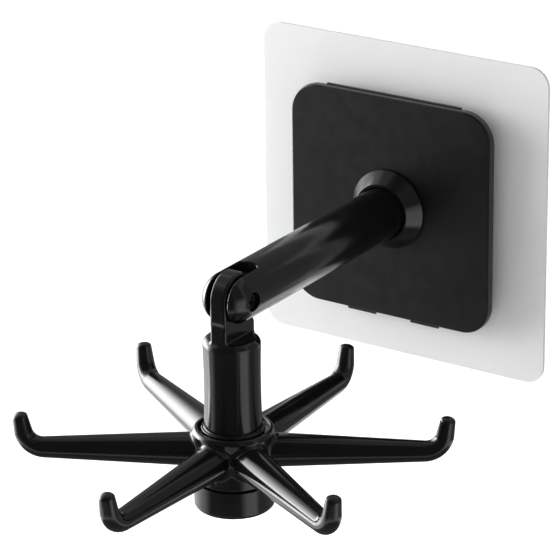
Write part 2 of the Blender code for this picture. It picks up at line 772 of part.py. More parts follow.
def make_cap(hub_frame):
    """The cup that closes the hub from below."""
    top = cap_top()
    foot = top - CAP_HEIGHT
    inner = CAP_RADIUS - CAP_WALL
    centre = (CAP_RADIUS - CAP_EDGE_ROUND, foot + CAP_EDGE_ROUND)
    profile = [(0, foot)]
    profile += arc(centre, CAP_EDGE_ROUND, -math.pi / 2, 0.0, ROUND_STEPS)
    profile += [(CAP_RADIUS, top), (inner, top), (inner, foot + CAP_FLOOR), (0, foot + CAP_FLOOR)]
    new_piece("bottom_cap", turned(profile), hub_frame, BLACK_PLASTIC)


def main():
    """Builds the whole hook, from the wall outwards."""
    clear_scene()
    quarter = math.pi / 2
    wall_frame = new_frame("wall_frame", None, (0, 0, 0), (quarter, 0, 0))
    arm_frame = new_frame("arm_swivel_axis", wall_frame, (0, 0, 0), (0, 0, 0))
    pin_frame = new_frame("elbow_pin_axis", arm_frame, (0, 0, PIN_REACH), (0, quarter, 0))
    stem_frame = new_frame("elbow_fold_axis", arm_frame, (0, 0, PIN_REACH), (-quarter, 0, 0))
    hub_frame = new_frame("hub_spin_axis", stem_frame, (0, -STEM_LEAD, -HUB_TOP_DROP), (0, 0, 0))
    make_sheet(wall_frame)
    make_back_plate(wall_frame)
    make_front_plate(wall_frame)
    make_collar(wall_frame)
    make_arm(arm_frame)
    make_arm_fixings(arm_frame)
    make_elbow_pin(pin_frame)
    make_stem(stem_frame)
    make_hub_bearing(hub_frame)
    make_hook_hub(hub_frame)
    make_cap(hub_frame)
    bpy.context.view_layer.update()


main()
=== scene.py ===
"""Rotating utensil hook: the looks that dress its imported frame.

Sizes are in metres and +Z is up. The wall is the plane y = 0, and the hook stands out
from it towards -Y. Each sub-assembly is a class that builds its own meshes, and each
finish is a class that makes its own material.
"""

import logging
import math
from abc import ABC, abstractmethod
from dataclasses import dataclass, field
from enum import Enum
from itertools import product
from typing import Callable, Sequence

import bpy
import numpy as np
from mathutils import Matrix, Vector


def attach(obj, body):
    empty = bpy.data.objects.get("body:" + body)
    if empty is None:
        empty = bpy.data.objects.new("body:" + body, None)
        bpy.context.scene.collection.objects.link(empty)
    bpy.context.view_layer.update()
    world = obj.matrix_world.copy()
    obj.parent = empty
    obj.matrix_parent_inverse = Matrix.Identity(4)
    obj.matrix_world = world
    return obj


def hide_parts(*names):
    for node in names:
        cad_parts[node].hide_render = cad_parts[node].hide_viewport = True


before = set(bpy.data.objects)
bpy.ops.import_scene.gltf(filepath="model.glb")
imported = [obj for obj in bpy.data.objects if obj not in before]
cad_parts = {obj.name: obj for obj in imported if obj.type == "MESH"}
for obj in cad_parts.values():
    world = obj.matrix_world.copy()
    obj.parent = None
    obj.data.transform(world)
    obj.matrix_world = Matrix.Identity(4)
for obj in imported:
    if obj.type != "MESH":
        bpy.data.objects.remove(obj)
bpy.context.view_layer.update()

LOG = logging.getLogger("utensil_hook")

Array = np.ndarray
Colour = tuple[float, float, float]
Field = Callable[[Array, Array, Array], Array]
Material = bpy.types.Material
NodeTree = bpy.types.NodeTree
Piece = bpy.types.Object
Place = Sequence[float]
Profile = Sequence[tuple[float, float, float]]
Socket = bpy.types.NodeSocket

# How far the elbow's pin and the axis of stem and hub stand from the wall
PIN_REACH = 0.0931
AXIS_REACH = 0.0936
# Radius of the bores that the elbow's screw passes through
PIN_BORE = 0.00205

# How far to either side of a place the slope of a field is measured
SLOPE_STEP = 0.000004
# How far a cutter runs past the face that it cuts
OVERRUN = 0.001
# A length of nothing, which also keeps divisions safe
TINY = 1e-12
# Grid rows that are measured at once, and the spare cells round a grid
SLAB_ROWS = 24
SPARE_CELLS = 2
# The corners of a grid cell, from its lowest one
CELL_CORNERS = tuple(product((0, 1), repeat=3))
# Sockets of the colour mixing node, whose names aren't unique
MIX_SHARE, MIX_FIRST, MIX_SECOND, MIX_RESULT = 0, 6, 7, 2
# A whole circle and a pole, in degrees
WHOLE_TURN = 360.0
POLE = 90.0


class Body(Enum):
    """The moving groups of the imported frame."""

    BASE = "base"
    ARM = "arm"
    STEM = "stem"
    HUB = "hub"


class Slot(Enum):
    """The names of the record's material slots."""

    BLACK_PLASTIC = "black_plastic"
    FROSTED_FILM = "frosted_film"
    CLEAR_GUM = "clear_gum"
    BRIGHT_STEEL = "bright_steel"
    DARK_STEEL = "dark_steel"


class Axis(Enum):
    """Directions that a turned piece can stand along."""

    UP = "up"
    OUT = "out"

    def placed(self, origin: Place) -> Matrix:
        """Gives the matrix that stands local Z along this axis, from an origin."""
        turn = Matrix.Rotation(math.pi / 2, 4, "X") if self is Axis.OUT else Matrix.Identity(4)
        return Matrix.Translation(Vector(origin)) @ turn


def join(first: Array, second: Array, radius: float) -> Array:
    """Joins two fields with a round fillet.

    Args:
        first: Distances to one body.
        second: Distances to the other body.
        radius: Radius of the fillet.

    Returns:
        Distances to the joined body.
    """
    reach = np.hypot(np.maximum(radius - first, 0.0), np.maximum(radius - second, 0.0))
    return np.maximum(radius, np.minimum(first, second)) - reach


def meet(first: Array, second: Array, radius: float) -> Array:
    """Keeps what two fields share, with a round edge.

    Args:
        first: Distances to one body.
        second: Distances to the other body.
        radius: Radius of the edge.

    Returns:
        Distances to the shared body.
    """
    reach = np.hypot(np.maximum(radius + first, 0.0), np.maximum(radius + second, 0.0))
    return np.minimum(-radius, np.maximum(first, second)) + reach


def cut(body: Array, cutter: Array, radius: float) -> Array:
    """Takes a cutter away from a body, with a round edge.

    Args:
        body: Distances to the body.
        cutter: Distances to the cutter.
        radius: Radius of the edge.

    Returns:
        Distances to what is left.
    """
    return meet(body, -cutter, radius)


def hexagon(across: Array, up: Array, radius: float) -> Array:
    """Measures a hexagon that has two corners on its first axis.

    Args:
        across: Places along its first axis, from its middle.
        up: Places along its second axis, from its middle.
        radius: Distance from its middle to a corner.

    Returns:
        Distances to its sides.
    """
    reach = np.full(across.shape, -np.inf)
    for side in range(6):
        angle = (side + 0.5) * math.pi / 3
        reach = np.maximum(reach, across * math.cos(angle) + up * math.sin(angle))
    return reach - radius * math.cos(math.pi / 6)


def between(first: Sequence[float], second: Sequence[float], share: Array) -> tuple[Array, ...]:
    """Gives the sizes at a share of the way from some sizes to others."""
    return tuple(start + (end - start) * share for start, end in zip(first, second))


def slope(shape: Field, points: Array) -> Array:
    """Measures how a field grows at some points.

    Args:
        shape: The field.
        points: Places, one a row.

    Returns:
        The gradient at each place.
    """
    grown = np.empty_like(points)
    for axis in range(3):
        shift = np.zeros(3)
        shift[axis] = SLOPE_STEP
        ahead = shape(*(points + shift).T)
        behind = shape(*(points - shift).T)
        grown[:, axis] = (ahead - behind) / (2 * SLOPE_STEP)
    return grown


def settle(shape: Field, points: Array, reach: float, rounds: int = 4) -> Array:
    """Moves points onto the surface of a field.

    Args:
        shape: The field.
        points: Places near its surface.
        reach: The furthest that a point may move in one round.
        rounds: How often to move them.

    Returns:
        The moved points.
    """
    for _ in range(rounds):
        grown = slope(shape, points)
        move = shape(*points.T) / np.maximum((grown**2).sum(axis=1), TINY)
        shift = grown * move[:, None]
        length = np.linalg.norm(shift, axis=1)
        shift *= np.minimum(1.0, reach / np.maximum(length, TINY))[:, None]
        points = points - shift
    return points


def unit(vectors: Array) -> Array:
    """Scales each row to a length of one."""
    return vectors / np.maximum(np.linalg.norm(vectors, axis=1), TINY)[:, None]


def sampled(shape: Field, axes: list[Array]) -> Array:
    """Measures a field on a grid, a slab at a time.

    Args:
        shape: The field.
        axes: Grid places along X, Y and Z.

    Returns:
        The field's value at every grid point.
    """
    values = np.empty([len(axis) for axis in axes], np.float32)
    for start in range(0, len(axes[0]), SLAB_ROWS):
        rows = slice(start, start + SLAB_ROWS)
        grid = np.meshgrid(axes[0][rows], axes[1], axes[2], indexing="ij")
        flat = [part.ravel() for part in grid]
        values[rows] = shape(*flat).reshape(grid[0].shape)
    return values


def crossing_points(values: Array, low: Array, cell: float, cells: Array) -> Array:
    """Finds a surface point for each grid cell that the surface passes through.

    Args:
        values: The field on the grid.
        low: Lowest corner of the grid.
        cell: Width of a cell.
        cells: Index of each such cell, one a row.

    Returns:
        The mean of the places where the surface crosses the cell's edges.
    """
    total = np.zeros((len(cells), 3))
    count = np.zeros(len(cells))
    for axis in range(3):
        sides = [side for side in range(3) if side != axis]
        for corner in range(4):
            offset = np.zeros(3, int)
            offset[sides[0]] = corner % 2
            offset[sides[1]] = corner // 2
            start = cells + offset
            end = start.copy()
            end[:, axis] += 1
            first = values[tuple(start.T)].astype(float)
            second = values[tuple(end.T)].astype(float)
            crossed = (first < 0) != (second < 0)
            share = first / np.where(crossed, first - second, 1.0)
            place = start.astype(float)
            place[:, axis] += share
            total[crossed] += place[crossed]
            count[crossed] += 1
    return low + cell * total / np.maximum(count, 1)[:, None]


def crossed_faces(inside: Array, number: Array) -> Array:
    """Spans a face across every grid edge that passes through the surface.

    Args:
        inside: Whether each grid point lies inside.
        number: The number of the surface point in each grid cell.

    Returns:
        The four-sided faces, as point numbers that run round them seen from outside.
    """
    faces = []
    for axis in range(3):
        left = np.moveaxis(inside, axis, 0)[:-1]
        right = np.moveaxis(inside, axis, 0)[1:]
        found = np.argwhere(np.moveaxis(left != right, 0, axis))
        across, along = (axis + 1) % 3, (axis + 2) % 3
        corners = []
        for back_across, back_along in ((1, 1), (0, 1), (0, 0), (1, 0)):
            place = found.copy()
            place[:, across] -= back_across
            place[:, along] -= back_along
            corners.append(number[tuple(place.T)])
        quads = np.stack(corners, axis=1)
        grows = inside[tuple(found.T)]
        quads[~grows] = quads[~grows][:, ::-1]
        faces.append(quads)
    return np.concatenate(faces)


def skinned(shape: Field, low: Place, high: Place, cell: float) -> tuple[Array, Array]:
    """Meshes the surface of a field with one point a cell.

    Args:
        shape: The field.
        low: Lowest corner of the space that holds the surface.
        high: Highest corner of that space.
        cell: Width of a cell.

    Returns:
        The points and the four-sided faces.
    """
    start = np.asarray(low, float) - SPARE_CELLS * cell
    counts = np.ceil((np.asarray(high, float) - start) / cell).astype(int) + SPARE_CELLS + 1
    axes = [start[axis] + cell * np.arange(counts[axis]) for axis in range(3)]
    values = sampled(shape, axes)
    inside = values < 0
    held = np.zeros(counts - 1, np.int8)
    for corner in CELL_CORNERS:
        held += inside[tuple(slice(step, step + size) for step, size in zip(corner, held.shape))]
    cells = np.argwhere((held > 0) & (held < len(CELL_CORNERS)))
    number = np.full(held.shape, -1, np.int64)
    number[tuple(cells.T)] = np.arange(len(cells))
    points = crossing_points(values, start, cell, cells)
    return settle(shape, points, cell / 2), crossed_faces(inside, number)


def new_object(
    name: str,
    points: Sequence[Place],
    faces: Sequence[Sequence[int]],
    normals: Sequence[Place] = (),
) -> Piece:
    """Makes an object from points and faces, and links it to the scene.

    Args:
        name: The piece's name.
        points: Places, one a row.
        faces: Corner numbers of each face.
        normals: The way outwards at each point, or nothing to take it from the faces.

    Returns:
        The object.
    """
    mesh = bpy.data.meshes.new(name)
    corners = [list(map(int, face)) for face in faces]
    mesh.from_pydata(np.asarray(points).tolist(), [], corners)
    mesh.update()
    mesh.shade_smooth()
    if len(normals):
        mesh.normals_split_custom_set_from_vertices([Vector(normal) for normal in normals])
    piece = bpy.data.objects.new(name, mesh)
    bpy.context.scene.collection.objects.link(piece)
    return piece


def points_of(mesh: bpy.types.Mesh) -> Array:
    """Reads a mesh's points.

    Args:
        mesh: The mesh.

    Returns:
        The points, one a row.
    """
    flat = np.empty(len(mesh.vertices) * 3)
    mesh.vertices.foreach_get("co", flat)
    return flat.reshape(-1, 3)


def apply_modifiers(piece: Piece) -> None:
    """Makes what a piece's modifiers give its own mesh.

    Args:
        piece: The piece.
    """
    graph = bpy.context.evaluated_depsgraph_get()
    mesh = bpy.data.meshes.new_from_object(piece.evaluated_get(graph))
    piece.modifiers.clear()
    old = piece.data
    piece.data = mesh
    bpy.data.meshes.remove(old)
    mesh.name = piece.name


def thinned(piece: Piece, share: float) -> None:
    """Cuts a piece's face count, and keeps its form.

    Args:
        piece: The piece.
        share: The share of faces to keep.
    """
    modifier = piece.modifiers.new("thin", "DECIMATE")
    modifier.ratio = share
    apply_modifiers(piece)


def field_piece(
    name: str, shape: Field, low: Place, high: Place, cell: float, share: float
) -> Piece:
    """Makes a piece whose surface and shading follow a field.

    Args:
        name: The piece's name.
        shape: The field.
        low: Lowest corner of the space that holds the piece.
        high: Highest corner of that space.
        cell: Width of a cell of the first mesh.
        share: The share of that mesh's faces to keep.

    Returns:
        The piece.
    """
    piece = new_object(name, *skinned(shape, low, high, cell))
    if share < 1:
        thinned(piece, share)
    mesh = piece.data
    points = settle(shape, points_of(mesh), cell / 2)
    mesh.vertices.foreach_set("co", points.ravel())
    mesh.update()
    mesh.shade_smooth()
    mesh.normals_split_custom_set_from_vertices(unit(slope(shape, points)).tolist())
    return piece


def rotated(heading: Array, angle: float) -> Array:
    """Turns a flat direction to the left by an angle."""
    along, aside = heading * math.cos(angle), heading * math.sin(angle)
    return np.array([along[0] - aside[1], along[1] + aside[0]])


def right_of(heading: Array) -> Array:
    """Gives the flat direction on the right of another."""
    return np.array([heading[1], -heading[0]])


def eased(corners: Profile, steps: int, ring: bool) -> tuple[Array, Array]:
    """Rounds the corners of a profile, which runs with its outside on the right.

    Args:
        corners: The radius, height and rounding of each corner.
        steps: Steps round each corner.
        ring: Whether the profile closes on itself.

    Returns:
        The profile's points and its outward normals.
    """
    places = np.array([corner[:2] for corner in corners], float)
    count = len(places)
    points = []
    normals = []
    for index, (place, (_, _, radius)) in enumerate(zip(places, corners)):
        before = place - places[index - 1]
        after = places[(index + 1) % count] - place
        if not ring and index in (0, count - 1):
            heading = before if index else after
            points.append(place)
            normals.append(right_of(heading / np.linalg.norm(heading)))
            continue
        before = before / np.linalg.norm(before)
        after = after / np.linalg.norm(after)
        turn = math.atan2(before[0] * after[1] - before[1] * after[0], float(before @ after))
        reach = math.copysign(radius, turn)
        start = place - before * radius * abs(math.tan(turn / 2))
        centre = start - reach * right_of(before)
        for step in range(steps + 1):
            outward = right_of(rotated(before, turn * step / steps))
            points.append(centre + reach * outward)
            normals.append(outward)
    return np.array(points), np.array(normals)


def turned_piece(
    name: str,
    corners: Profile,
    place: Matrix,
    ring: bool = False,
    round_steps: int = 5,
    turn_steps: int = 128,
) -> Piece:
    """Makes a turned piece with eased edges and true shading.

    Args:
        name: The piece's name.
        corners: The radius, height and rounding of each corner, with the outside on the right.
        place: Stands the piece's axis where it belongs.
        ring: Whether the profile closes on itself.
        round_steps: Steps round each eased corner.
        turn_steps: Steps round the axis.

    Returns:
        The piece.
    """
    profile, outward = eased(corners, round_steps, ring)
    turns = np.arange(turn_steps) * math.tau / turn_steps
    ways = [(math.cos(turn), math.sin(turn)) for turn in turns]
    points = []
    normals = []
    index = np.zeros((len(profile), turn_steps), int)
    for row, ((radius, height), (normal_out, normal_up)) in enumerate(zip(profile, outward)):
        if radius < TINY:
            index[row] = len(points)
            points.append((0.0, 0.0, height))
            normals.append((0.0, 0.0, math.copysign(1.0, normal_up)))
            continue
        index[row] = len(points) + np.arange(turn_steps)
        for across, aside in ways:
            points.append((radius * across, radius * aside, height))
            normals.append((normal_out * across, normal_out * aside, normal_up))
    faces = []
    for row in range(len(profile) if ring else len(profile) - 1):
        lower = index[row]
        upper = index[(row + 1) % len(profile)]
        for step in range(turn_steps):
            after = (step + 1) % turn_steps
            quad = (lower[step], lower[after], upper[after], upper[step])
            faces.append(list(dict.fromkeys(quad)))
    piece = new_object(name, points, faces, normals)
    piece.data.transform(place)
    return piece


def slab_piece(
    name: str,
    side: float,
    corner: float,
    edge: Profile,
    round_steps: int = 5,
    corner_steps: int = 16,
) -> Piece:
    """Makes a square piece with round corners that lies along the wall.

    Args:
        name: The piece's name.
        side: Width of the square.
        corner: Radius of its corners.
        edge: Offset from the square's outline, distance from the wall and rounding of each
            corner of its edge.
        round_steps: Steps round each eased corner of the edge.
        corner_steps: Steps round each corner of the square.

    Returns:
        The piece.
    """
    profile, outward = eased(edge, round_steps, False)
    straight = side / 2 - corner
    points = []
    normals = []
    for (offset, level), (normal_out, normal_up) in zip(profile, outward):
        for quarter, (across, up) in enumerate(((1, 1), (-1, 1), (-1, -1), (1, -1))):
            for step in range(corner_steps + 1):
                angle = (quarter + step / corner_steps) * math.pi / 2
                aside, aloft = math.cos(angle), math.sin(angle)
                reach = corner + offset
                height = up * straight + reach * aloft
                points.append((across * straight + reach * aside, -level, height))
                normals.append((normal_out * aside, -normal_up, normal_out * aloft))
    around = len(points) // len(profile)
    last = len(points) - around
    faces = []
    for lower in range(0, last, around):
        upper = lower + around
        for step in range(around):
            after = (step + 1) % around
            faces.append([lower + step, lower + after, upper + after, upper + step])
    faces.append(list(range(around - 1, -1, -1)))
    faces.append(list(range(last, len(points))))
    return new_object(name, points, faces, normals)


def box_cutter(low: Place, high: Place) -> Piece:
    """Makes a plain box for cutting.

    Args:
        low: Its lowest corner.
        high: Its highest corner.

    Returns:
        The box.
    """
    points = list(product(*zip(low, high)))
    faces = [(0, 1, 3, 2), (4, 6, 7, 5), (0, 4, 5, 1), (2, 3, 7, 6), (0, 2, 6, 4), (1, 5, 7, 3)]
    return new_object("cutter", points, faces)


def carved(piece: Piece, cutters: Sequence[Piece]) -> None:
    """Cuts a piece with cutters, and removes the cutters.

    Args:
        piece: The piece.
        cutters: The cutters.
    """
    for cutter in cutters:
        modifier = piece.modifiers.new("carve", "BOOLEAN")
        modifier.operation = "DIFFERENCE"
        modifier.solver = "EXACT"
        modifier.object = cutter
    apply_modifiers(piece)
    for cutter in cutters:
        bpy.data.objects.remove(cutter)


def shaded_by(piece: Piece, shape: Field, spread: float = math.radians(50)) -> None:
    """Gives a carved piece true shading where a field still describes it.

    Args:
        piece: The piece.
        shape: The field of the piece before it was carved.
        spread: How far the field's normal may lean from the face's own.
    """
    mesh = piece.data
    normals = unit(slope(shape, points_of(mesh)))
    least = math.cos(spread)
    shaded = []
    for face in mesh.polygons:
        own = np.array(face.normal)
        for corner in face.vertices:
            normal = normals[corner]
            shaded.append(Vector(normal if normal @ own > least else own))
    mesh.shade_smooth()
    mesh.normals_split_custom_set(shaded)


class Wiring:
    """A node tree whose nodes are added and linked one after another."""

    def __init__(self, tree: NodeTree) -> None:
        """Takes the node tree to work on."""
        self.tree = tree

    def node(self, kind: str, **settings: object) -> bpy.types.Node:
        """Adds a node.

        Args:
            kind: The node's type.
            **settings: Its properties.

        Returns:
            The node.
        """
        node = self.tree.nodes.new(kind)
        for key, value in settings.items():
            setattr(node, key, value)
        return node

    def wire(self, source: Socket, target: Socket) -> None:
        """Links one socket to another."""
        self.tree.links.new(source, target)


class Bench(Wiring):
    """The nodes of a surface's material."""

    def __init__(self, name: str) -> None:
        """Starts a material.

        Args:
            name: The material's name.
        """
        self.material = bpy.data.materials.new(name)
        self.material.use_nodes = True
        super().__init__(self.material.node_tree)
        self.shader = self.tree.nodes["Principled BSDF"]
        self.place = self.node("ShaderNodeTexCoord").outputs["Object"]

    def fix(self, **values: float) -> None:
        """Sets the shader's sockets, with spaces in their names written as _."""
        for key, value in values.items():
            self.shader.inputs[key.replace("_", " ")].default_value = value

    def noise(self, size: float, detail: float, stretch: Place = (1.0, 1.0, 1.0)) -> Socket:
        """Adds noise.

        Args:
            size: Real size of its patches.
            detail: How many finer layers it has.
            stretch: Scale along each axis.

        Returns:
            The noise's value.
        """
        mapping = self.node("ShaderNodeMapping")
        mapping.inputs["Scale"].default_value = stretch
        self.wire(self.place, mapping.inputs["Vector"])
        texture = self.node("ShaderNodeTexNoise")
        texture.inputs["Scale"].default_value = 1 / size
        texture.inputs["Detail"].default_value = detail
        self.wire(mapping.outputs["Vector"], texture.inputs["Vector"])
        return texture.outputs["Fac"]

    def spread(
        self, source: Socket, low: float, high: float, start: float = 0.3, end: float = 0.7
    ) -> Socket:
        """Maps a value onto a range.

        Args:
            source: The value.
            low: The least result.
            high: The greatest result.
            start: The value that gives the least result.
            end: The value that gives the greatest result.

        Returns:
            The mapped value.
        """
        node = self.node("ShaderNodeMapRange")
        self.wire(source, node.inputs["Value"])
        limits = {"From Min": start, "From Max": end, "To Min": low, "To Max": high}
        for key, value in limits.items():
            node.inputs[key].default_value = value
        return node.outputs["Result"]

    def tint(self, share: Socket, deep: Colour, pale: Colour) -> None:
        """Mixes the shader's colour from two.

        Args:
            share: The share of the pale colour.
            deep: The deep colour.
            pale: The pale colour.
        """
        node = self.node("ShaderNodeMix", data_type="RGBA")
        self.wire(share, node.inputs[MIX_SHARE])
        node.inputs[MIX_FIRST].default_value = (*deep, 1.0)
        node.inputs[MIX_SECOND].default_value = (*pale, 1.0)
        self.wire(node.outputs[MIX_RESULT], self.shader.inputs["Base Color"])

    def roughen(self, pattern: Socket, least: float, most: float) -> None:
        """Lets a pattern range the shader's roughness between two values."""
        self.wire(self.spread(pattern, least, most), self.shader.inputs["Roughness"])

    def relief(self, layers: Sequence[tuple[Socket, float]]) -> None:
        """Stacks layers of relief on the shader's normal.

        Args:
            layers: Each layer's height and its real depth.
        """
        below = None
        for height, depth in layers:
            bump = self.node("ShaderNodeBump")
            bump.inputs["Distance"].default_value = depth
            self.wire(height, bump.inputs["Height"])
            if below is not None:
                self.wire(below, bump.inputs["Normal"])
            below = bump.outputs["Normal"]
        self.wire(below, self.shader.inputs["Normal"])


@dataclass(frozen=True)
class GlossBlack:
    """Polished black moulding with a faint orange peel and soft sink marks."""

    name: str = "gloss_black"
    deep: Colour = (0.0042, 0.0042, 0.0050)
    pale: Colour = (0.0058, 0.0056, 0.0066)
    least_rough: float = 0.13
    most_rough: float = 0.20
    wear_size: float = 0.004
    wear_detail: float = 4.0
    peel_size: float = 0.0009
    peel_detail: float = 1.0
    peel_depth: float = 0.0000012
    sink_size: float = 0.011
    sink_detail: float = 3.0
    sink_depth: float = 0.00004
    refraction: float = 1.5

    def material(self) -> Material:
        """Makes the material.

        Returns:
            The material.
        """
        bench = Bench(self.name)
        sinks = bench.noise(self.sink_size, self.sink_detail)
        peel = bench.noise(self.peel_size, self.peel_detail)
        wear = bench.noise(self.wear_size, self.wear_detail)
        bench.tint(bench.spread(sinks, 0.0, 1.0), self.deep, self.pale)
        bench.roughen(wear, self.least_rough, self.most_rough)
        bench.relief([(sinks, self.sink_depth), (peel, self.peel_depth)])
        bench.fix(IOR=self.refraction)
        return bench.material


@dataclass(frozen=True)
class SatinBlack(GlossBlack):
    """The duller black of the plates, with broader and flatter sink marks."""

    name: str = "satin_black"
    least_rough: float = 0.29
    most_rough: float = 0.34
    sink_size: float = 0.03
    sink_depth: float = 0.00002


@dataclass(frozen=True)
class Grained:
    """A finish whose shade drifts, and whose fine grain is both rough and raised."""

    name: str
    deep: Colour
    pale: Colour
    drift_size: float
    drift_detail: float
    grain_size: float
    grain_detail: float
    grain_depth: float
    least_rough: float
    most_rough: float

    def stretch(self) -> Place:
        """Gives the grain's scale along each axis."""
        return (1.0, 1.0, 1.0)

    def constants(self) -> dict[str, float]:
        """Gives the shader's fixed values, with spaces in their names written as _."""
        return {}

    def material(self) -> Material:
        """Makes the material.

        Returns:
            The material.
        """
        bench = Bench(self.name)
        grain = bench.noise(self.grain_size, self.grain_detail, self.stretch())
        bench.tint(bench.noise(self.drift_size, self.drift_detail), self.deep, self.pale)
        bench.roughen(grain, self.least_rough, self.most_rough)
        bench.relief([(grain, self.grain_depth)])
        bench.fix(**self.constants())
        return bench.material


@dataclass(frozen=True)
class MattNylon(Grained):
    """Matt black nylon with a fine moulded grain."""

    name: str = "matt_nylon"
    deep: Colour = (0.014, 0.014, 0.014)
    pale: Colour = (0.026, 0.026, 0.026)
    drift_size: float = 0.002
    drift_detail: float = 2.0
    grain_size: float = 0.00025
    grain_detail: float = 3.0
    grain_depth: float = 0.000010
    least_rough: float = 0.45
    most_rough: float = 0.62


@dataclass(frozen=True)
class FrostedFilm(Grained):
    """Frosted clear film with a very fine matt face."""

    name: str = "frosted_film"
    deep: Colour = (0.86, 0.865, 0.87)
    pale: Colour = (0.92, 0.92, 0.92)
    drift_size: float = 0.02
    drift_detail: float = 3.0
    grain_size: float = 0.0003
    grain_detail: float = 3.0
    grain_depth: float = 0.000004
    least_rough: float = 0.30
    most_rough: float = 0.42
    clearness: float = 0.25
    refraction: float = 1.45

    def constants(self) -> dict[str, float]:
        """Lets part of the light through."""
        return {"Transmission_Weight": self.clearness, "IOR": self.refraction}


@dataclass(frozen=True)
class ClearGum(FrostedFilm):
    """Clear tacky layer with a shallow dimpled face."""

    name: str = "clear_gum"
    deep: Colour = (0.84, 0.85, 0.86)
    pale: Colour = (0.90, 0.90, 0.90)
    drift_size: float = 0.012
    drift_detail: float = 2.0
    grain_size: float = 0.0024
    grain_detail: float = 2.0
    grain_depth: float = 0.000008
    least_rough: float = 0.32
    most_rough: float = 0.42
    clearness: float = 0.40
    refraction: float = 1.4


@dataclass(frozen=True)
class DrawnSteel(Grained):
    """Bright steel with fine marks from its making."""

    name: str = "drawn_steel"
    deep: Colour = (0.46, 0.46, 0.45)
    pale: Colour = (0.62, 0.62, 0.60)
    drift_size: float = 0.0015
    drift_detail: float = 3.0
    grain_size: float = 0.0002
    grain_detail: float = 3.0
    grain_depth: float = 0.000003
    least_rough: float = 0.20
    most_rough: float = 0.36
    mark_squeeze: float = 6.0

    def stretch(self) -> Place:
        """Lays the marks round an upright axis."""
        return (1.0, 1.0, self.mark_squeeze)

    def constants(self) -> dict[str, float]:
        """Makes the surface metal."""
        return {"Metallic": 1.0}


@dataclass(frozen=True)
class DarkSteel(DrawnSteel):
    """The same steel, blackened and duller."""

    name: str = "dark_steel"
    deep: Colour = (0.010, 0.010, 0.011)
    pale: Colour = (0.022, 0.022, 0.023)
    least_rough: float = 0.42
    most_rough: float = 0.55


@dataclass
class Finishes:
    """The finished materials, each made once."""

    gloss: Material = field(default_factory=GlossBlack().material)
    satin: Material = field(default_factory=SatinBlack().material)
    nylon: Material = field(default_factory=MattNylon().material)
    film: Material = field(default_factory=FrostedFilm().material)
    gum: Material = field(default_factory=ClearGum().material)
    steel: Material = field(default_factory=DrawnSteel().material)
    dark_steel: Material = field(default_factory=DarkSteel().material)


def dress(piece: Piece, material: Material, body: Body, nodes: Sequence[str]) -> None:
    """Finishes a new piece, and fits it to the frame.

    Args:
        piece: The piece.
        material: Its material.
        body: The moving group that carries it.
        nodes: The solids that it stands for.
    """
    piece.data.materials.clear()
    piece.data.materials.append(material)
    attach(piece, body.value)
    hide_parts(*nodes)
    LOG.info("%s: %d faces", piece.name, len(piece.data.polygons))


def dress_node(node: str, material: Material) -> None:
    """Gives a solid of the frame its finish.

    Args:
        node: The solid's name.
        material: Its material.
    """
    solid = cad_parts[node]
    if not solid.material_slots:
        solid.data.materials.append(material)
    for place in solid.material_slots:
        place.material = material
    LOG.info("%s: the frame's own solid", node)


class SubAssembly(ABC):
    """A group of pieces that are made and finished together."""

    @abstractmethod
    def build(self, finishes: Finishes) -> None:
        """Builds and dresses the pieces.

        Args:
            finishes: The finished materials.
        """


@dataclass
class WallSheet(SubAssembly):
    """The adhesive layer and the frosted film on it."""

    side: float = 0.100
    corner: float = 0.006
    gum_front: float = 0.0003
    film_rear: float = 0.0006
    film_front: float = 0.0011
    edge_round: float = 0.0001
    edge_steps: int = 3

    def layer(self, name: str, rear: float, front: float) -> Piece:
        """Makes one layer of the sheet.

        Args:
            name: The layer's name.
            rear: Its distance from the wall.
            front: The distance from the wall to its face.

        Returns:
            The layer.
        """
        inner = -self.corner / 2
        easing = self.edge_round
        edge = [(inner, rear, 0), (0, rear, easing), (0, front, easing), (inner, front, 0)]
        return slab_piece(name, self.side, self.corner, edge, self.edge_steps)

    def build(self, finishes: Finishes) -> None:
        """Builds and dresses both layers.

        Args:
            finishes: The finished materials.
        """
        gum = self.layer("gum_layer", 0.0, self.gum_front)
        dress(gum, finishes.gum, Body.BASE, ["adhesive_layer"])
        film = self.layer("film_sheet", self.film_rear, self.film_front)
        dress(film, finishes.film, Body.BASE, ["mounting_film"])


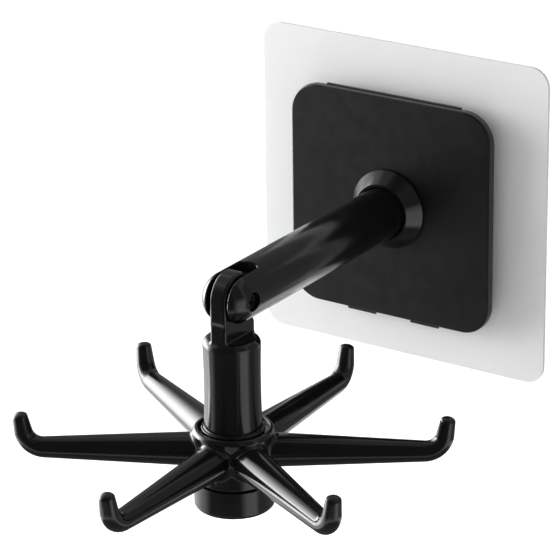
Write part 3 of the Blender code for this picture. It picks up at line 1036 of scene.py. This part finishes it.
@dataclass
class CoverPlate(SubAssembly):
    """The square cover over the back plate, with windows for its latches."""

    side: float = 0.0702
    corner: float = 0.0095
    rear: float = 0.0062
    front: float = 0.0087
    wall: float = 0.0032
    face: float = 0.0016
    ceiling_inset: float = 0.0044
    face_inset: float = 0.0012
    edge_round: float = 0.0006
    inner_round: float = 0.0003
    rim_round: float = 0.0002
    round_steps: int = 8
    corner_steps: int = 20
    hole_radius: float = 0.0058
    hole_steps: int = 64
    window_rear: float = 0.0052
    window_front: float = 0.0068
    lip_half_width: float = 0.0238
    barb_centre: float = 0.01125
    barb_half_width: float = 0.0052

    def offset(self, x: Array, z: Array) -> Array:
        """Measures the square's outline, seen from the front.

        Args:
            x: Places to the right.
            z: Places upwards.

        Returns:
            Distances to the outline.
        """
        straight = self.side / 2 - self.corner
        across = np.abs(x) - straight
        up = np.abs(z) - straight
        outside = np.hypot(np.maximum(across, 0.0), np.maximum(up, 0.0))
        return outside + np.minimum(np.maximum(across, up), 0.0) - self.corner

    def shape(self, x: Array, y: Array, z: Array) -> Array:
        """Measures the cover before its windows are cut.

        Args:
            x: Places to the right.
            y: Places towards the wall.
            z: Places upwards.

        Returns:
            Distances to the cover.
        """
        edge = self.offset(x, z)
        outer = meet(edge, -y - self.front, self.edge_round)
        outer = meet(outer, self.rear + y, self.rim_round)
        hollow = meet(edge + self.wall, -y - self.front + self.face, self.inner_round)
        return cut(outer, hollow, self.rim_round)

    def cutters(self) -> list[Piece]:
        """Makes the cutters for the arm's hole and for the windows of the lip and the barbs.

        Returns:
            The cutters.
        """
        rear = self.front - self.face - OVERRUN
        front = self.front + OVERRUN
        hole = [
            (0, rear, 0),
            (self.hole_radius, rear, TINY),
            (self.hole_radius, front, TINY),
            (0, front, 0),
        ]
        place = Axis.OUT.placed((0, 0, 0))
        cutters = [turned_piece("cutter", hole, place, round_steps=1, turn_steps=self.hole_steps)]
        near = self.side / 2 - self.wall - OVERRUN
        far = self.side / 2 + OVERRUN
        windows = [(0.0, self.lip_half_width, near, far)]
        for side in (-1, 1):
            windows.append((side * self.barb_centre, self.barb_half_width, -far, -near))
        for centre, half, foot, top in windows:
            low = (centre - half, -self.window_front, foot)
            high = (centre + half, -self.window_rear, top)
            cutters.append(box_cutter(low, high))
        return cutters

    def build(self, finishes: Finishes) -> None:
        """Builds and dresses the cover.

        Args:
            finishes: The finished materials.
        """
        ceiling = self.front - self.face
        edge = [
            (-self.ceiling_inset, ceiling, 0),
            (-self.wall, ceiling, self.inner_round),
            (-self.wall, self.rear, self.rim_round),
            (0, self.rear, self.rim_round),
            (0, self.front, self.edge_round),
            (-self.face_inset, self.front, 0),
        ]
        steps = (self.round_steps, self.corner_steps)
        cover = slab_piece("cover_plate", self.side, self.corner, edge, *steps)
        carved(cover, self.cutters())
        shaded_by(cover, self.shape)
        dress(cover, finishes.satin, Body.BASE, ["front_plate"])


@dataclass
class RootCollar(SubAssembly):
    """The conical ring round the root of the arm."""

    bore: float = 0.00825
    rear: float = 0.0090
    base_radius: float = 0.0124
    land: float = 0.0004
    top_radius: float = 0.0091
    height: float = 0.0046
    edge_round: float = 0.00018

    def build(self, finishes: Finishes) -> None:
        """Builds and dresses the collar.

        Args:
            finishes: The finished materials.
        """
        front = self.rear + self.height
        profile = [
            (self.bore, self.rear, self.edge_round),
            (self.base_radius, self.rear, self.edge_round),
            (self.base_radius, self.rear + self.land, self.edge_round),
            (self.top_radius, front, self.edge_round),
            (self.bore, front, self.edge_round),
        ]
        collar = turned_piece("root_collar", profile, Axis.OUT.placed((0, 0, 0)), True)
        dress(collar, finishes.gloss, Body.BASE, ["arm_collar"])


@dataclass
class SwivelArm(SubAssembly):
    """The round arm with its spigot, dome, slot and elbow pockets."""

    radius: float = 0.00795
    shoulder: float = 0.0099
    root_round: float = 0.0004
    spigot_radius: float = 0.0055
    spigot_end: float = 0.0071
    nose_centre: float = 0.0936
    nose_length: float = 0.0085
    slot_half_width: float = 0.0036
    slot_floor: float = 0.0845
    slot_corner: float = 0.0016
    slot_edge: float = 0.0005
    pin_reach: float = PIN_REACH
    pin_bore: float = PIN_BORE
    head_pocket: float = 0.0027
    head_seat: float = 0.00505
    nut_pocket: float = 0.0035
    nut_seat: float = -0.00465
    pocket_edge: float = 0.0002
    pilot_radius: float = 0.0022
    pilot_end: float = 0.0192
    cell: float = 0.00036
    kept_share: float = 0.30

    def shape(self, x: Array, y: Array, z: Array) -> Array:
        """Measures the arm.

        Args:
            x: Places to the right.
            y: Places towards the wall.
            z: Places upwards.

        Returns:
            Distances to the arm.
        """
        out = -y
        radial = np.hypot(x, z)
        edge = self.pocket_edge
        dome = np.maximum(out - self.nose_centre, 0.0) * self.radius / self.nose_length
        bar = meet(np.hypot(radial, dome) - self.radius, self.shoulder - out, self.root_round)
        spigot = meet(radial - self.spigot_radius, self.spigot_end - out, edge)
        spigot = meet(spigot, out - self.shoulder - OVERRUN, edge)
        body = join(bar, spigot, edge)
        slot = meet(np.abs(x) - self.slot_half_width, self.slot_floor - out, self.slot_corner)
        body = cut(body, slot, self.slot_edge)
        across = np.hypot(out - self.pin_reach, z)
        head = meet(across - self.head_pocket, self.head_seat - x, edge)
        sides = hexagon(out - self.pin_reach, z, self.nut_pocket)
        nut = meet(sides, x - self.nut_seat, edge)
        pilot = meet(radial - self.pilot_radius, out - self.pilot_end, edge)
        for hole in (across - self.pin_bore, head, nut, pilot):
            body = cut(body, hole, edge)
        return body

    def build(self, finishes: Finishes) -> None:
        """Builds and dresses the arm.

        Args:
            finishes: The finished materials.
        """
        low = (-self.radius, -self.nose_centre - self.nose_length, -self.radius)
        high = (self.radius, -self.spigot_end, self.radius)
        arm = field_piece("swivel_arm", self.shape, low, high, self.cell, self.kept_share)
        dress(arm, finishes.gloss, Body.ARM, ["arm"])


@dataclass
class ElbowScrew(SubAssembly):
    """The screw through the elbow, with a cross recess in its head, and its nut."""

    pin_reach: float = PIN_REACH
    shank_radius: float = 0.00175
    far_end: float = -0.00675
    head_radius: float = 0.0024
    head_inner: float = 0.00535
    head_outer: float = 0.00675
    head_overlap: float = 0.0005
    edge_round: float = 0.00025
    seat_round: float = 0.000125
    fine_round: float = 0.00025 / 3
    recess_half_width: float = 0.00035
    recess_reach: float = 0.0014
    recess_depth: float = 0.0008
    nut_radius: float = 0.0029
    nut_inner: float = -0.00495
    nut_bore: float = PIN_BORE
    chamfer_radius: float = 0.00252
    cell: float = 0.00015
    kept_share: float = 0.5

    def screw_shape(self, x: Array, y: Array, z: Array) -> Array:
        """Measures the screw.

        Args:
            x: Places to the right.
            y: Places towards the wall.
            z: Places upwards.

        Returns:
            Distances to the screw.
        """
        along = -y - self.pin_reach
        radial = np.hypot(along, z)
        shank = meet(radial - self.shank_radius, self.far_end - x, self.edge_round)
        shank = meet(shank, x - self.head_inner - self.head_overlap, self.edge_round)
        head = meet(radial - self.head_radius, x - self.head_outer, self.edge_round)
        head = meet(head, self.head_inner - x, self.seat_round)
        body = join(shank, head, self.seat_round)
        depth = self.head_outer - self.recess_depth * (1 - radial / self.recess_reach)
        narrow = np.minimum(np.abs(along), np.abs(z)) - self.recess_half_width
        recess = np.maximum(np.maximum(narrow, radial - self.recess_reach), depth - x)
        return cut(body, recess, self.fine_round)

    def nut_shape(self, x: Array, y: Array, z: Array) -> Array:
        """Measures the nut.

        Args:
            x: Places to the right.
            y: Places towards the wall.
            z: Places upwards.

        Returns:
            Distances to the nut.
        """
        along = -y - self.pin_reach
        radial = np.hypot(along, z)
        length = np.maximum(self.far_end - x, x - self.nut_inner)
        body = meet(hexagon(along, z, self.nut_radius), length, self.fine_round)
        # The chamfer is a cone at 45 degrees
        cone = (radial - self.chamfer_radius + (self.far_end - x)) * math.sqrt(0.5)
        body = np.maximum(body, cone)
        return cut(body, radial - self.nut_bore, self.seat_round)

    def space(self, left: float, right: float, radius: float) -> tuple[Place, Place]:
        """Gives the corners of the space round the pin between two places across."""
        low = (left, -self.pin_reach - radius, -radius)
        return low, (right, -self.pin_reach + radius, radius)

    def build(self, finishes: Finishes) -> None:
        """Builds and dresses the screw and the nut.

        Args:
            finishes: The finished materials.
        """
        grid = (self.cell, self.kept_share)
        space = self.space(self.far_end, self.head_outer, self.head_radius)
        screw = field_piece("elbow_screw_head", self.screw_shape, *space, *grid)
        dress(screw, finishes.dark_steel, Body.ARM, ["elbow_screw"])
        space = self.space(self.far_end, self.nut_inner, self.nut_radius)
        nut = field_piece("elbow_hex_nut", self.nut_shape, *space, *grid)
        dress(nut, finishes.steel, Body.ARM, ["elbow_nut"])


@dataclass
class FoldingStem(SubAssembly):
    """The tongue, the round column under it and the hub's spindle."""

    pin_y: float = -PIN_REACH
    axis_y: float = -AXIS_REACH
    tongue_radius: float = 0.0076
    tongue_half: float = 0.0027
    tongue_foot: float = -0.0168
    tongue_round: float = 0.0009
    pin_bore: float = PIN_BORE
    shoulder: float = -0.0119
    shoulder_round: float = 0.0021
    top_radius: float = 0.00835
    top_height: float = -0.0140
    waist_radius: float = 0.00815
    waist_height: float = -0.0270
    foot_radius: float = 0.00845
    foot_height: float = -0.0396
    blend_round: float = 0.0006
    detent_radius: float = 0.0022
    detent_offset: float = 0.0091
    detent_height: float = -0.0070
    detent_edge: float = 0.0004
    flange_radius: float = 0.0093
    flange_foot: float = -0.0404
    flange_round: float = 0.00025
    spindle_radius: float = 0.0040
    spindle_foot: float = -0.0546
    pilot_radius: float = 0.0020
    pilot_top: float = -0.0440
    cell: float = 0.00036
    kept_share: float = 0.35

    def column_radius(self, z: Array) -> Array:
        """Gives the column's radius, which narrows a little towards its waist.

        Args:
            z: Heights.

        Returns:
            The radius at each height.
        """
        heights = (self.top_height, self.waist_height, self.foot_height)
        radii = (self.top_radius, self.waist_radius, self.foot_radius)
        curve = np.polyfit(heights, radii, 2)
        return np.polyval(curve, np.clip(z, self.foot_height, self.top_height))

    def shape(self, x: Array, y: Array, z: Array) -> Array:
        """Measures the stem.

        Args:
            x: Places to the right.
            y: Places towards the wall.
            z: Places upwards.

        Returns:
            Distances to the stem.
        """
        radial = np.hypot(x, y - self.axis_y)
        column = meet(radial - self.column_radius(z), z - self.shoulder, self.shoulder_round)
        column = meet(column, self.flange_foot - z, self.flange_round)
        side = np.hypot(y - self.pin_y, np.maximum(z, 0.0)) - self.tongue_radius
        tongue = meet(side, np.abs(x) - self.tongue_half, self.tongue_round)
        tongue = np.maximum(tongue, self.tongue_foot - z)
        body = join(column, tongue, self.blend_round)
        for way in (-1, 1):
            groove = np.hypot(y - self.axis_y - way * self.detent_offset, z - self.detent_height)
            body = cut(body, groove - self.detent_radius, self.detent_edge)
        flange = meet(radial - self.flange_radius, z - self.foot_height, self.flange_round)
        flange = meet(flange, self.flange_foot - z, self.flange_round)
        body = join(body, flange, self.flange_round)
        spindle = meet(radial - self.spindle_radius, self.spindle_foot - z, self.flange_round)
        spindle = np.maximum(spindle, z - self.foot_height)
        body = join(body, spindle, self.flange_round)
        pin = np.hypot(y - self.pin_y, z) - self.pin_bore
        body = cut(body, pin, self.flange_round)
        pilot = np.maximum(radial - self.pilot_radius, z - self.pilot_top)
        return cut(body, pilot, self.flange_round)

    def build(self, finishes: Finishes) -> None:
        """Builds and dresses the stem.

        Args:
            finishes: The finished materials.
        """
        reach = self.flange_radius
        low = (-reach, self.axis_y - reach, self.spindle_foot)
        high = (reach, self.axis_y + reach, self.tongue_radius)
        stem = field_piece("folding_stem", self.shape, low, high, self.cell, self.kept_share)
        dress(stem, finishes.gloss, Body.STEM, ["stem"])


@dataclass
class HookHub(SubAssembly):
    """The round core and the six hooks that sweep up to their tips."""

    axis_y: float = -AXIS_REACH
    top: float = -0.0397
    rim_radius: float = 0.0113
    rim_round: float = 0.0005
    rim_inner: float = 0.0103
    flare_radius: float = 0.0119
    flare_drop: float = 0.0012
    core_radius: float = 0.0110
    taper_drop: float = 0.0066
    height: float = 0.0161
    recess_depth: float = 0.0018
    bore: float = 0.0043
    spigot_radius: float = 0.0094
    spigot_length: float = 0.0025
    counterbore_radius: float = 0.0068
    counterbore_ceiling: float = -0.0546
    edge_round: float = 0.0003
    root_fillet: float = 0.0013
    hooks: int = 6
    first_angle: float = math.radians(-89.6)
    centre_drop: float = 0.0073
    start_radius: float = 0.0065
    root_size: tuple[float, float] = (0.0110, 0.0099)
    bend_size: tuple[float, float] = (0.0063, 0.0062)
    neck_size: tuple[float, float] = (0.0054, 0.0053)
    tip_size: tuple[float, float] = (0.0046, 0.0044)
    bend_radius: float = 0.0060
    climb: float = math.radians(80.0)
    tip_radius: float = 0.0617
    tip_rise: float = 0.0034
    tip_dome: float = 0.0012
    near_core: float = 0.020
    cell: float = 0.00042
    kept_share: float = 0.42

    def route(self) -> tuple[float, float, float]:
        """Works out how the middle line of a hook runs up to its tip.

        Returns:
            The distance out where the bend starts, the height of the bend's centre and the
            length of the straight tip.
        """
        sine, cosine = math.sin(self.climb), math.cos(self.climb)
        neck_rise = -self.centre_drop + self.bend_radius * (1 - cosine)
        run = (self.tip_rise - neck_rise) / sine
        start = self.tip_radius - run * cosine - self.bend_radius * sine
        return start, -self.centre_drop + self.bend_radius, run

    def oval(self, side: Array, rise: Array, size: tuple[Array, Array], beyond: Array) -> Array:
        """Gives the distance to an oval bar.

        Args:
            side: Distance sideways from its centre line.
            rise: Distance across its thickness from the centre line.
            size: Its width and thickness there.
            beyond: How far past the dome's foot, over the dome's height.

        Returns:
            The distance, true near the surface.
        """
        reach = np.sqrt((2 * side / size[0]) ** 2 + (2 * rise / size[1]) ** 2 + beyond**2)
        return (reach - 1) * np.minimum(size[0], size[1]) / 2

    def hook(self, out: Array, side: Array, rise: Array) -> Array:
        """Measures one hook: its level root, its bend and its tip.

        Args:
            out: Distance out from the hub's axis along the hook.
            side: Distance sideways from the hook's middle plane.
            rise: Height above the hub's rim.

        Returns:
            Distances to the hook.
        """
        bend_start, bend_height, run = self.route()
        nowhere = 0 * out
        length = bend_start - self.core_radius
        share = (np.maximum(out, self.start_radius) - self.core_radius) / length
        size = between(self.root_size, self.bend_size, np.minimum(share, 1.0))
        level = self.oval(side, rise + self.centre_drop, size, nowhere)
        level = np.maximum(level, out - bend_start)
        level = np.maximum(level, self.start_radius - out)
        across = out - bend_start
        down = bend_height - rise
        angle = np.arctan2(across, down)
        size = between(self.bend_size, self.neck_size, np.clip(angle / self.climb, 0.0, 1.0))
        bend = self.oval(side, np.hypot(across, down) - self.bend_radius, size, nowhere)
        bend = np.where((angle >= 0) & (angle <= self.climb), bend, self.tip_radius)
        ahead = (math.cos(self.climb), math.sin(self.climb))
        past = out - (bend_start + self.bend_radius * ahead[1])
        above = rise - (bend_height - self.bend_radius * ahead[0])
        along = past * ahead[0] + above * ahead[1]
        lean = above * ahead[0] - past * ahead[1]
        straight = run - self.tip_dome
        size = between(self.neck_size, self.tip_size, np.clip(along / straight, 0.0, 1.0))
        beyond = np.maximum(along - straight, 0.0) / self.tip_dome
        tip = np.maximum(self.oval(side, lean, size, beyond), -along)
        return np.minimum(np.minimum(level, bend), tip)

    def core(self, radial: Array, rise: Array) -> Array:
        """Measures the round core.

        Args:
            radial: Distance from the hub's axis.
            rise: Height above the hub's rim.

        Returns:
            Distances to the core.
        """
        heights = (-self.height, -self.taper_drop, -self.flare_drop, 0.0)
        radii = (self.core_radius, self.core_radius, self.flare_radius, self.rim_radius)
        outside = radial - np.interp(rise, heights, radii)
        body = meet(outside, rise, self.rim_round)
        body = meet(body, -self.height - rise, self.edge_round)
        spigot_foot = -self.height - self.spigot_length
        spigot = meet(radial - self.spigot_radius, spigot_foot - rise, self.edge_round)
        return join(body, np.maximum(spigot, rise + self.taper_drop), self.edge_round)

    def shape(self, x: Array, y: Array, z: Array) -> Array:
        """Measures the hub and its hooks.

        Args:
            x: Places to the right.
            y: Places towards the wall.
            z: Places upwards.

        Returns:
            Distances to the hub.
        """
        rise = z - self.top
        across = y - self.axis_y
        radial = np.hypot(x, across)
        step = math.tau / self.hooks
        angle = np.arctan2(across, x) - self.first_angle
        nearest = angle - step * np.round(angle / step)
        hooks = self.hook(radial * np.cos(nearest), radial * np.sin(nearest), rise)
        body = join(self.core(radial, rise), hooks, self.root_fillet)
        near = radial < self.near_core
        for way in (-1, 1):
            turned = nearest[near] + way * step
            out = radial[near] * np.cos(turned)
            other = self.hook(out, radial[near] * np.sin(turned), rise[near])
            body[near] = join(body[near], other, self.root_fillet)
        recess = np.maximum(radial - self.rim_inner, -self.recess_depth - rise)
        counterbore = np.maximum(radial - self.counterbore_radius, z - self.counterbore_ceiling)
        for hollow in (recess, radial - self.bore, counterbore):
            body = cut(body, hollow, self.edge_round)
        return body

    def build(self, finishes: Finishes) -> None:
        """Builds and dresses the hub.

        Args:
            finishes: The finished materials.
        """
        reach = self.tip_radius + self.bend_size[0] / 2
        # Four hooks stand 30 degrees out of the sideways direction, and none stands in it
        width = reach * math.cos(math.pi / 6)
        foot = self.top - self.height - self.spigot_length
        low = (-width, self.axis_y - reach, foot)
        high = (width, self.axis_y + reach, self.top + self.tip_rise)
        hub = field_piece("hub_with_hooks", self.shape, low, high, self.cell, self.kept_share)
        dress(hub, finishes.gloss, Body.HUB, ["hook_hub"])


@dataclass
class EndCap(SubAssembly):
    """The cup that closes the hub from below."""

    axis_y: float = -AXIS_REACH
    radius: float = 0.0117
    top: float = -0.0559
    foot: float = -0.0643
    wall: float = 0.0020
    floor: float = 0.0020
    foot_round: float = 0.0012
    rim_round: float = 0.0002

    def build(self, finishes: Finishes) -> None:
        """Builds and dresses the cap.

        Args:
            finishes: The finished materials.
        """
        inner = self.radius - self.wall
        profile = [
            (0, self.foot, 0),
            (self.radius, self.foot, self.foot_round),
            (self.radius, self.top, self.rim_round),
            (inner, self.top, self.rim_round),
            (inner, self.foot + self.floor, self.rim_round),
            (0, self.foot + self.floor, 0),
        ]
        cap = turned_piece("end_cap", profile, Axis.UP.placed((0, self.axis_y, 0)))
        dress(cap, finishes.gloss, Body.HUB, ["bottom_cap"])


@dataclass
class InnerFittings(SubAssembly):
    """The frame's own solids whose forms are right as they are."""

    satin: tuple[str, ...] = ("back_plate",)
    nylon: tuple[str, ...] = (
        "arm_friction_ring",
        "elbow_washer_near",
        "elbow_washer_far",
        "hub_thrust_washer",
    )
    steel: tuple[str, ...] = ("arm_washer", "arm_screw", "hub_washer", "hub_screw")

    def build(self, finishes: Finishes) -> None:
        """Dresses the solids.

        Args:
            finishes: The finished materials.
        """
        for nodes, material in (
            (self.satin, finishes.satin),
            (self.nylon, finishes.nylon),
            (self.steel, finishes.steel),
        ):
            for node in nodes:
                dress_node(node, material)


@dataclass(frozen=True)
class Lamp:
    """A soft box, by the angles in degrees and the distance at which it stands."""

    name: str
    azimuth: float
    elevation: float
    size: tuple[float, float]
    power: float
    distance: float = 0.80
    soft: bool = False
    mirrored: bool = True


@dataclass(frozen=True)
class Flag:
    """A curved grey card that only reflections see, by the angles that it covers in degrees."""

    name: str
    azimuths: tuple[float, float]
    elevations: tuple[float, float]
    tone: float
    feather: float = 8.0
    distance: float = 0.95
    step: float = 4.0

    def ruled(self, span: tuple[float, float]) -> Array:
        """Gives the angles of the card's grid lines over a span."""
        return np.arange(span[0], span[1] + self.step / 2, self.step)

    def cover(self, turns: Array, lifts: Array) -> Array:
        """Fades the card out towards its edges, of which a whole circle and a pole have none.

        Args:
            turns: Azimuths of its grid lines.
            lifts: Elevations of its grid lines.

        Returns:
            How much the card covers at each grid point, a row for each elevation.
        """
        inside = np.full((len(lifts), len(turns)), self.feather)
        if turns[-1] - turns[0] < WHOLE_TURN:
            inside = np.minimum(inside, np.minimum(turns - turns[0], turns[-1] - turns))
        if lifts[0] > -POLE:
            inside = np.minimum(inside, (lifts - lifts[0])[:, None])
        if lifts[-1] < POLE:
            inside = np.minimum(inside, (lifts[-1] - lifts)[:, None])
        return inside / self.feather

    def material(self) -> Material:
        """Makes a glow of the card's tone, which gives way where the card fades.

        Returns:
            The material.
        """
        material = bpy.data.materials.new(self.name)
        material.use_nodes = True
        wiring = Wiring(material.node_tree)
        reader = wiring.node("ShaderNodeAttribute", attribute_name="cover")
        glow = wiring.node("ShaderNodeEmission")
        glow.inputs["Strength"].default_value = self.tone
        clear = wiring.node("ShaderNodeBsdfTransparent")
        mix = wiring.node("ShaderNodeMixShader")
        wiring.wire(reader.outputs["Fac"], mix.inputs["Fac"])
        wiring.wire(clear.outputs["BSDF"], mix.inputs[1])
        wiring.wire(glow.outputs["Emission"], mix.inputs[2])
        surface = wiring.tree.nodes["Material Output"].inputs["Surface"]
        wiring.wire(mix.outputs["Shader"], surface)
        return material


@dataclass
class Studio:
    """The floor, the background, the lamps, the flags and the camera."""

    middle: tuple[float, float, float] = (0.0, -0.075, -0.015)
    floor_height: float = -0.55
    floor_half: float = 6.0
    floor_tone: float = 0.8
    floor_rough: float = 0.9
    floor_glow: float = 0.75
    world_light: float = 0.66
    white: float = 1.0
    lamps: tuple[Lamp, ...] = (
        Lamp("key_box", azimuth=-90.0, elevation=5.0, size=(1.44, 1.16), power=56.0, soft=True),
        Lamp("side_box", azimuth=-74.0, elevation=-7.0, size=(0.20, 0.50), power=1.7),
        Lamp(
            "fill_box",
            azimuth=-62.0,
            elevation=20.0,
            size=(0.40, 0.40),
            power=2.2,
            mirrored=False,
        ),
    )
    flags: tuple[Flag, ...] = (
        Flag(
            "front_flag",
            azimuths=(-58.0, 70.0),
            elevations=(-48.0, 100.0),
            tone=0.06,
            feather=20.0,
            distance=0.85,
        ),
        Flag(
            "right_flag",
            azimuths=(56.0, 100.0),
            elevations=(4.0, 78.0),
            tone=0.16,
            feather=6.0,
        ),
        Flag(
            "back_flag",
            azimuths=(96.0, 242.0),
            elevations=(-54.0, 56.0),
            tone=0.25,
            feather=10.0,
        ),
        Flag(
            "low_flag",
            azimuths=(-180.0, 180.0),
            elevations=(-90.0, -38.0),
            tone=0.16,
            distance=0.50,
        ),
        Flag(
            "top_flag",
            azimuths=(-180.0, 180.0),
            elevations=(48.0, 90.0),
            tone=0.38,
            distance=1.05,
        ),
    )
    camera_place: tuple[float, float, float] = (0.466407501, -0.766455219, 0.327602709)
    camera_azimuth: float = 33.7538939
    camera_elevation: float = 21.50767
    camera_roll: float = -0.760201768
    camera_focal: float = 3125.22202
    frame_pixels: float = 560.0
    sensor: float = 36.0
    clip_start: float = 0.01

    def direction(self, azimuth: float, elevation: float) -> Vector:
        """Gives the way from the object to a place seen from it.

        Args:
            azimuth: The place's angle to the right of the front, in degrees.
            elevation: Its angle above the level, in degrees.

        Returns:
            The way there, of length one.
        """
        turn = math.radians(azimuth)
        lift = math.radians(elevation)
        level = math.cos(lift)
        return Vector((math.sin(turn) * level, -math.cos(turn) * level, math.sin(lift)))

    def strength(self, wiring: Wiring, plain: float, seen: float) -> Socket:
        """Lights the object at one strength, and shows the background at another.

        Args:
            wiring: The nodes to add to.
            plain: The strength that lights the object.
            seen: The strength on rays from the camera, a glossy surface or a clear one.

        Returns:
            The strength.
        """
        rays = wiring.node("ShaderNodeLightPath")
        total = rays.outputs["Is Camera Ray"]
        for name in ("Is Glossy Ray", "Is Transmission Ray"):
            node = wiring.node("ShaderNodeMath", operation="MAXIMUM")
            wiring.wire(total, node.inputs[0])
            wiring.wire(rays.outputs[name], node.inputs[1])
            total = node.outputs[0]
        scale = wiring.node("ShaderNodeMapRange")
        scale.inputs["To Min"].default_value = plain
        scale.inputs["To Max"].default_value = seen
        wiring.wire(total, scale.inputs["Value"])
        return scale.outputs["Result"]

    def build_world(self) -> None:
        """Sets a white background and its plain soft light."""
        world = bpy.data.worlds.new("white_room")
        bpy.context.scene.world = world
        world.use_nodes = True
        wiring = Wiring(world.node_tree)
        inputs = wiring.tree.nodes["Background"].inputs
        inputs["Color"].default_value = (1, 1, 1, 1)
        wiring.wire(self.strength(wiring, self.world_light, self.white), inputs["Strength"])

    def build_floor(self) -> None:
        """Lays the pale floor, which keeps the object's shadow."""
        half = self.floor_half
        corners = ((-half, -half), (half, -half), (half, half), (-half, half))
        points = [(x, y, self.floor_height) for x, y in corners]
        floor = new_object("floor", points, [(0, 1, 2, 3)])
        material = bpy.data.materials.new("pale_floor")
        material.use_nodes = True
        wiring = Wiring(material.node_tree)
        inputs = wiring.tree.nodes["Principled BSDF"].inputs
        inputs["Base Color"].default_value = (*[self.floor_tone] * 3, 1)
        inputs["Roughness"].default_value = self.floor_rough
        inputs["Emission Color"].default_value = (1, 1, 1, 1)
        wiring.wire(self.strength(wiring, 0.0, self.floor_glow), inputs["Emission Strength"])
        floor.data.materials.append(material)

    def build_lamp(self, lamp: Lamp) -> None:
        """Stands one soft box and turns it towards the object.

        Args:
            lamp: The soft box.
        """
        light = bpy.data.lights.new(lamp.name, "AREA")
        light.shape = "RECTANGLE"
        light.size, light.size_y = lamp.size
        light.energy = lamp.power
        if lamp.soft:
            self.soften(light)
        stand = bpy.data.objects.new(lamp.name, light)
        stand.visible_glossy = lamp.mirrored
        bpy.context.scene.collection.objects.link(stand)
        way = self.direction(lamp.azimuth, lamp.elevation)
        stand.location = Vector(self.middle) + way * lamp.distance
        stand.rotation_euler = way.to_track_quat("Z", "Y").to_euler()

    def soften(self, light: bpy.types.Light) -> None:
        """Fades a soft box from its bright middle to its edges.

        Args:
            light: The soft box's light.
        """
        light.use_nodes = True
        wiring = Wiring(light.node_tree)
        place = wiring.node("ShaderNodeNewGeometry").outputs["Parametric"]
        centred = wiring.node("ShaderNodeVectorMath", operation="MULTIPLY_ADD")
        wiring.wire(place, centred.inputs[0])
        # The edges lie at 0 and 1, and are moved to -1 and 1 round the middle
        centred.inputs[1].default_value = (2, 2, 0)
        centred.inputs[2].default_value = (-1, -1, 0)
        length = wiring.node("ShaderNodeVectorMath", operation="LENGTH")
        wiring.wire(centred.outputs["Vector"], length.inputs[0])
        fade = wiring.node("ShaderNodeMapRange", interpolation_type="SMOOTHSTEP")
        fade.inputs["To Min"].default_value = 1.0
        fade.inputs["To Max"].default_value = 0.0
        wiring.wire(length.outputs["Value"], fade.inputs["Value"])
        wiring.wire(fade.outputs["Result"], light.node_tree.nodes["Emission"].inputs["Strength"])

    def build_flag(self, flag: Flag) -> None:
        """Hangs one grey card, whose edges fade out.

        Args:
            flag: The card.
        """
        turns, lifts = flag.ruled(flag.azimuths), flag.ruled(flag.elevations)
        middle = Vector(self.middle)
        points = [
            middle + self.direction(turn, lift) * flag.distance for lift in lifts for turn in turns
        ]
        faces = []
        for row in range(len(lifts) - 1):
            for start in range(row * len(turns), (row + 1) * len(turns) - 1):
                above = start + len(turns)
                faces.append((start, start + 1, above + 1, above))
        card = new_object(flag.name, points, faces)
        attribute = card.data.attributes.new("cover", "FLOAT", "POINT")
        attribute.data.foreach_set("value", flag.cover(turns, lifts).ravel())
        card.data.materials.append(flag.material())
        card.visible_camera = False
        card.visible_diffuse = False
        card.visible_transmission = False
        card.visible_volume_scatter = False
        card.visible_shadow = False

    def build_camera(self) -> None:
        """Sets the camera where the photograph was taken from."""
        turn = math.radians(self.camera_azimuth)
        roll = math.radians(self.camera_roll)
        back = self.direction(self.camera_azimuth, self.camera_elevation)
        level = Vector((math.cos(turn), math.sin(turn), 0.0))
        upright = back.cross(level)
        right = level * math.cos(roll) + upright * math.sin(roll)
        up = upright * math.cos(roll) - level * math.sin(roll)
        data = bpy.data.cameras.new("camera")
        data.sensor_fit = "HORIZONTAL"
        data.sensor_width = self.sensor
        data.lens = self.camera_focal * self.sensor / self.frame_pixels
        data.clip_start = self.clip_start
        camera = bpy.data.objects.new("camera", data)
        bpy.context.scene.collection.objects.link(camera)
        matrix = Matrix.Identity(4)
        for column, axis in enumerate((right, up, back, Vector(self.camera_place))):
            for row in range(3):
                matrix[row][column] = axis[row]
        camera.matrix_world = matrix
        bpy.context.scene.camera = camera

    def build(self) -> None:
        """Builds the studio."""
        scene = bpy.context.scene
        scene.view_settings.view_transform = "Standard"
        self.build_world()
        self.build_floor()
        for lamp in self.lamps:
            self.build_lamp(lamp)
        for flag in self.flags:
            self.build_flag(flag)
        self.build_camera()


def main() -> None:
    """Builds the studio and then each sub-assembly, from the wall outwards."""
    logging.basicConfig(level=logging.INFO, format="%(name)s: %(message)s")
    Studio().build()
    finishes = Finishes()
    parts: tuple[SubAssembly, ...] = (
        WallSheet(),
        InnerFittings(),
        CoverPlate(),
        RootCollar(),
        SwivelArm(),
        ElbowScrew(),
        FoldingStem(),
        HookHub(),
        EndCap(),
    )
    for part in parts:
        part.build(finishes)


if __name__ == "__main__":
    main()
